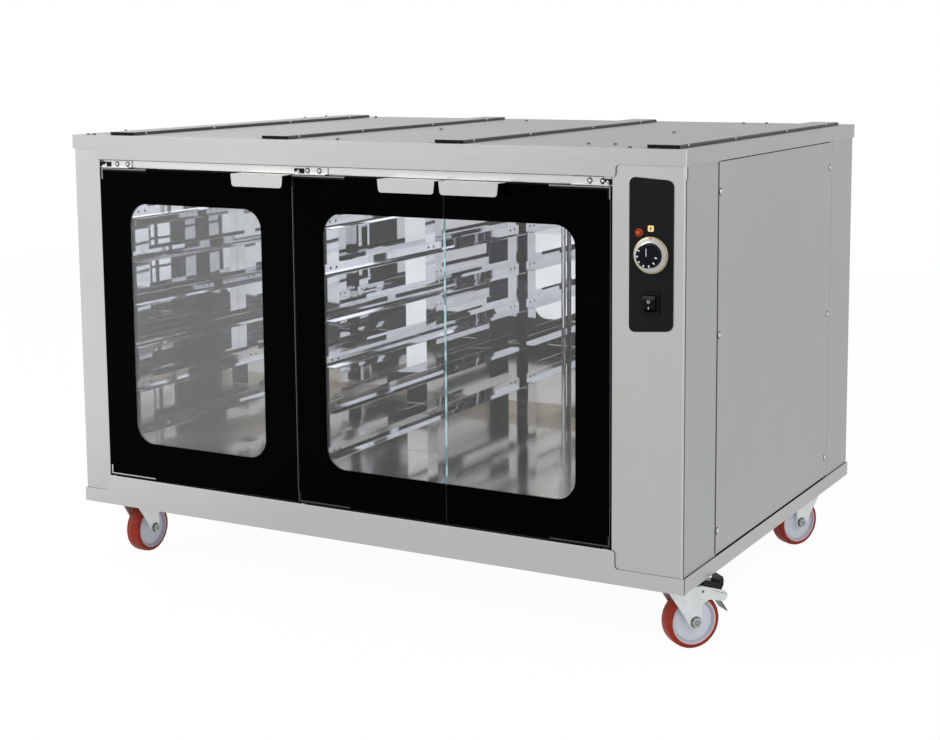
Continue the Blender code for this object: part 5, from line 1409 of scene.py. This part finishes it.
def add_prism(shape, near, far):
    """Adds a closed prism between two outlines with as many corners."""
    near, far = [[shape.verts.new(point) for point in end] for end in (near, far)]
    shape.faces.new(near)
    shape.faces.new(far)
    for i in range(len(near)):
        j = (i + 1) % len(near)
        shape.faces.new((near[i], near[j], far[j], far[i]))


def slab(outline, bottom, top):
    """An outline in the plane across Z, as a closed bmesh slab."""
    shape = bmesh.new()
    add_prism(shape, [(x, y, bottom) for x, y in outline], [(x, y, top) for x, y in outline])
    bmesh.ops.recalc_face_normals(shape, faces=shape.faces)
    return shape


def round_rectangle(half_x, half_y, radius, steps=5):
    """A rectangle with round corners about the origin."""
    outline = []
    for sign_x, sign_y, start in ((1, -1, -math.pi / 2), (1, 1, 0.0), (-1, 1, math.pi / 2),
                                  (-1, -1, math.pi)):
        centre = (sign_x * (half_x - radius), sign_y * (half_y - radius))
        outline += corner_arc(centre, radius, start, steps)
    return outline


pointer_place = on_front(KNOB_X + POINTER_LEFT, KNOB_FACE - PRINT_HEIGHT / 3, KNOB_Z + POINTER_SHIFT)
pointer_outline = round_rectangle(POINTER_WIDTH / 2, POINTER_LENGTH / 2, POINTER_CORNER)
finished(slab(pointer_outline, -PRINT_HEIGHT, PRINT_HEIGHT / 2), "knob_pointer", "knob", pointer_place,
         "pointer")
lens_profile = [(LENS_RADIUS * share, along) for share, along in (
    (1.0, -0.0050), (1.0, 0.0012), (0.86, 0.0026), (0.78, 0.0026), (0.70, 0.0021), (0.52, 0.0036),
    (0.26, 0.0043), (0.0, 0.0045), (0.0, -0.0050))]
lens_place = on_plate(*LENS_PLACE)
lens_axis = lens_place.translation
lamp = finished(turned(lens_profile, LENS_SIDES), "pilot_lens", "cabinet", lens_place, "red_lens")
# Painted shade: the groove of the lens and the foot of its dome take the darker red.
repaint(lamp, "red_well", lambda middle, normal: (
    LENS_RADIUS * LENS_WELL[0] < (middle - lens_axis).xz.length < LENS_RADIUS * LENS_WELL[1]))
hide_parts("pilot_lamp")
amber_place = on_plate(0.0, AMBER_RISE)
amber_outline = round_rectangle(AMBER_HALF, AMBER_HALF, AMBER_RADIUS)
finished(slab(amber_outline, -AMBER_SUNK, AMBER_DEPTH), "amber_lens", "cabinet", amber_place,
         "amber_lens")
mark_outline = round_rectangle(AMBER_HALF * AMBER_MARK[0], AMBER_HALF * AMBER_MARK[1], AMBER_MARK_RADIUS)
finished(slab(mark_outline, AMBER_DEPTH - MARK_SUNK, AMBER_DEPTH + MARK_PROUD), "amber_mark", "cabinet",
         amber_place, "amber_mark")
index_profile = [(0.0, 0.0), (INDEX_RADIUS, 0.0), (INDEX_RADIUS, RING_DEPTH * 0.9),
                 (INDEX_RADIUS * 0.6, RING_DEPTH + 0.0004), (0.0, RING_DEPTH + 0.0006)]
finished(turned(index_profile, INDEX_SIDES), "dial_index", "cabinet",
         on_plate(0.0, RING_RADIUS - INDEX_RADIUS), "index")
print("lamp axis:", rounded(lens_axis))

# %% [markdown]
# ### The switch
#
# The rocker is tilted: its upper half stands out and its lower half is pressed in. Both halves rise from
# a shallow valley in the middle to a brow, and a bevel falls from each brow to the bezel. The two marks,
# a ring and a bar, are thin white prints. They are drawn flat and then turned with the face that they lie
# on.

# %% Rocker switch
BEZEL_EDGE = 0.0004
ROCKER_EDGE = 0.0003
SLOPE_RISE = 0.35
SLOPE_FRONT = -0.2
SWITCH_TILT = math.radians(8.0)
SWITCH_Z = base_floor + 0.487
VALLEY_DEPTH = 0.0061
VALLEY_SLOPE = math.radians(12.7)
MARK_RISE = {1.0: 0.0044, -1.0: 0.0066}
MARK_LEFT = -0.0006
MARK_LIFT = 0.0003
RING_MARK = 0.0026
MARK_STROKE = 0.0008
MARK_SIDES = 32
BAR_MARK = 0.0040
BAR_CORNERS = ((-0.5, -0.5), (0.5, -0.5), (0.5, 0.5), (-0.5, 0.5))
BAR_WIDTH = 0.0013
BAR_HEIGHT = 0.0007
dress("switch_housing", "housing", BEZEL_EDGE, "bezel")
rocker = dress("rocker", "rocker", ROCKER_EDGE, "cap")
# Painted light: the rocker's faces that look up and out take the lighter black.
repaint(rocker, "lit_brow", lambda middle, normal: normal.z > SLOPE_RISE and normal.y < SLOPE_FRONT)


def on_rocker(side):
    """A frame on the rocker's upper (1) or lower (-1) face, which tilts with it."""
    pivot = Matrix.Translation((KNOB_X, PLATE_FRONT, SWITCH_Z)) @ Matrix.Rotation(SWITCH_TILT, 4, "X")
    valley = Matrix.Translation((0.0, -VALLEY_DEPTH, 0.0)) @ Matrix.Rotation(side * VALLEY_SLOPE, 4, "X")
    mark = Matrix.Translation((MARK_LEFT, side * MARK_RISE[side], MARK_LIFT))
    return pivot @ valley @ TOWARDS_FRONT @ mark


ring_bore = RING_MARK - MARK_STROKE
ring_mark = turned([(ring_bore, -MARK_LIFT), (RING_MARK, -MARK_LIFT), (RING_MARK, PRINT_HEIGHT),
                    (ring_bore, PRINT_HEIGHT)], MARK_SIDES)
finished(ring_mark, "switch_off_mark", "switch_rocker", on_rocker(1.0), "print")
bar_mark = slab([(x * BAR_WIDTH, y * BAR_MARK) for x, y in BAR_CORNERS], -MARK_LIFT, BAR_HEIGHT)
finished(bar_mark, "switch_on_mark", "switch_rocker", on_rocker(-1.0), "print")

# %% [markdown]
# ## The casters
#
# A caster is easiest to draw in a frame of its own: X runs from the swivel towards the trailing wheel,
# and the axle lies along Y. A matrix then carries every piece to its corner of the cabinet. The wheel is
# two turned pieces: a dished nylon centre, and a polyurethane tread with a thin grey band round it, a
# little off its middle, which is a painted highlight. The nylon glows a little, which is painted light,
# and the wall of its dish takes a lilac copy of it, which is painted shade.

# %% Caster frames
TRAIL = 0.035
WHEEL_RADIUS = 0.050
HEADINGS = {"front_right": 49.8, "front_left": 90.0, "rear_right": 241.0, "rear_left": 229.8}


def caster_frame(corner):
    """The frame of a caster: its origin is on the floor under the swivel."""
    low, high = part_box(f"{corner}_caster_plate")
    swivel = Vector(((low.x + high.x) / 2, (low.y + high.y) / 2, 0.0))
    return Matrix.Translation(swivel) @ Matrix.Rotation(math.radians(HEADINGS[corner]), 4, "Z")


def axle_frame(corner):
    """The frame at the middle of a wheel, whose Z runs along the axle."""
    return caster_frame(corner) @ Matrix.Translation((TRAIL, 0.0, WHEEL_RADIUS)) @ TOWARDS_FRONT


for corner in HEADINGS:
    print(corner, rounded(caster_frame(corner).translation))

# %% Wheels
TYRE_HALF = 0.016
HUB_HALF = 0.018
TREAD_IN = 0.0414
HUB_BOSS = 0.0132
WALL_INNER = 0.0350
WALL_OUTER = 0.0388
AXLE_BORE = 0.0063
HIGHLIGHT_SHIFT = 0.0050
HUB_SIDES = 72
TREAD_SIDES = 96


def mirror_profile(side):
    """Adds the mirror image of half a profile, so that it closes."""
    return side + [(radius, -along) for radius, along in reversed(side)]


hub_profile = mirror_profile([
    (AXLE_BORE, HUB_HALF), (HUB_BOSS - 0.0008, HUB_HALF), (HUB_BOSS, HUB_HALF - 0.0008),
    (HUB_BOSS + 0.0006, 0.0125), (HUB_BOSS + 0.0030, 0.0107), (0.0230, 0.0102), (WALL_INNER, 0.0105),
    (0.0358, 0.0113), (0.0370, 0.0126), (0.0382, 0.0146), (WALL_OUTER, TYRE_HALF - 0.0004),
    (0.0394, TYRE_HALF), (TREAD_IN, TYRE_HALF - 0.0004),
])
tread_profile = mirror_profile([
    (TREAD_IN, TYRE_HALF - 0.0006), (TREAD_IN + 0.0006, TYRE_HALF), (0.0440, TYRE_HALF), (0.0462, 0.0156),
    (0.0480, 0.0142), (0.0491, 0.0118), (0.0496, 0.0085), (0.0498, 0.0040), (0.0498, 0.0006),
])
highlight_profile = [(radius, along - HIGHLIGHT_SHIFT) for radius, along in mirror_profile([
    (0.0486, 0.0013), (0.0496, 0.0013), (WHEEL_RADIUS - 0.00002, 0.0008),
])]
for corner in HEADINGS:
    body = f"{corner}_roller"
    place = axle_frame(corner)
    to_axle = place.inverted()
    hub = finished(turned(hub_profile, HUB_SIDES), f"{corner}_hub", body, place, "nylon")
    # Painted shade: the dish wall takes the lilac copy of the nylon; the rim beyond it takes its pale pink.
    for kind, inner in (("nylon_wall", WALL_INNER), ("nylon_rim", WALL_OUTER)):
        repaint(hub, kind, lambda middle, normal: (to_axle @ middle).to_2d().length > inner)
    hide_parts(f"{corner}_wheel")
    finished(turned(tread_profile, TREAD_SIDES), f"{corner}_tread", body, place, "tread")
    # Painted highlight: a thin grey band round the tread, a little off its middle.
    finished(turned(highlight_profile, TREAD_SIDES), f"{corner}_tread_line", body, place, "mould_line")
print("wheels:", len(HEADINGS))

# %% [markdown]
# The forks, plates and pedals keep their CAD shape with rounded edges. Hexagon heads hold the plates from
# below, one at each corner, and they come from the fastener tree with its hexagon switched on.

# %% Forks, plates and pedals
FORK_EDGE = 0.0005
PEDAL_EDGE = 0.0006
PLATE_BOLT_INSET = 0.0115
PLATE_SHEET = 0.003
CHEEK_FACE = 0.0220
NUT_RADIUS = 0.0095
RECESS = (0.0080, 0.0105)
RECESS_SIDES = 28
ARM_RIVET = (0.0478, 0.1030)
ARM_LINE = ((0.0680, 0.1026), (0.0940, 0.0926))
ARM_LINE_WIDTH = 0.0009
ARM_LINE_HEIGHT = 0.0002
AXLE_END = 0.0270
AXLE_EYE = (0.0026, 0.0044)
BOTH_SIDES = (-1.0, 1.0)
BRAKED = ("front_right", "rear_left")


def axle_shade_rings(corner, body, place):
    """Dark rings of painted shade round the axle's nuts and in its ends."""
    shape = bmesh.new()
    for side in BOTH_SIDES:
        turn = Matrix.Rotation(-side * math.pi / 2, 4, "X")
        for face, (inner, outer) in ((CHEEK_FACE, RECESS), (AXLE_END, AXLE_EYE)):
            ring = turned([(inner, 0.0), (outer, 0.0), (outer, PROUD), (inner, PROUD)], RECESS_SIDES)
            bmesh.ops.transform(ring, matrix=Matrix.Translation((TRAIL, side * face, WHEEL_RADIUS)) @ turn,
                                verts=ring.verts)
            mesh = bpy.data.meshes.new("ring")
            ring.to_mesh(mesh)
            ring.free()
            shape.from_mesh(mesh)
            bpy.data.meshes.remove(mesh)
    finished(shape, f"{corner}_axle_recess", body, place, "axle")


def brake_arm(corner, body, place):
    """A dark line of painted shade along the folded edge of a brake arm on both cheeks, and the rivets
    beside it.
    """
    shape = bmesh.new()
    (x0, z0), (x1, z1) = ARM_LINE
    outline = [(x0, z0), (x1, z1), (x1, z1 + ARM_LINE_WIDTH), (x0, z0 + ARM_LINE_WIDTH)]
    for side in BOTH_SIDES:
        ends = (CHEEK_FACE, CHEEK_FACE + ARM_LINE_HEIGHT)
        near, far = [[(x, side * y, z) for x, z in outline] for y in ends]
        add_prism(shape, near, far)
    bmesh.ops.recalc_face_normals(shape, faces=shape.faces)
    finished(shape, f"{corner}_arm_line", body, place, "axle")
    sideways = place.to_3x3() @ Vector((0.0, 1.0, 0.0))
    rivets = [(place @ Vector((ARM_RIVET[0], side * CHEEK_FACE, ARM_RIVET[1])), sideways * side)
              for side in BOTH_SIDES]
    fasten(f"{corner}_arm_rivets", body, rivets, "axle", **RIVET)


def on_nut(place):
    """True for a place in the axle's frame that lies on a nut, outside the cheeks."""
    return place.to_2d().length < NUT_RADIUS and abs(place.z) > CHEEK_FACE + PROUD


for corner in HEADINGS:
    body = body_of_node[f"{corner}_fork"]
    place = caster_frame(corner)
    to_axle = axle_frame(corner).inverted()
    fork = dress(f"{corner}_fork", "zinc", FORK_EDGE, "pressing")
    repaint(fork, "bolt", lambda middle, normal: on_nut(to_axle @ middle))
    axle_shade_rings(corner, body, place)
    if corner in BRAKED:
        brake_arm(corner, body, place)
    dress(f"{corner}_caster_plate", "zinc", FORK_EDGE, "pressing")
    low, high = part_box(f"{corner}_caster_plate")
    bolts = [(Vector((x, y, high.z - PLATE_SHEET)), -UP)
             for x in (low.x + PLATE_BOLT_INSET, high.x - PLATE_BOLT_INSET)
             for y in (low.y + PLATE_BOLT_INSET, high.y - PLATE_BOLT_INSET)]
    fasten(f"{corner}_plate_bolts", "cabinet", bolts, "bolt", **PLATE_BOLT)
    if corner in BRAKED:
        dress(f"{corner}_brake_pedal", "pedal", PEDAL_EDGE, "tread")
print("plate bolts:", 4 * len(HEADINGS))

# %% Cable gland
GLAND_EDGE = 0.0005
dress("cable_gland", "housing", GLAND_EDGE, "body")
print("gland dressed")
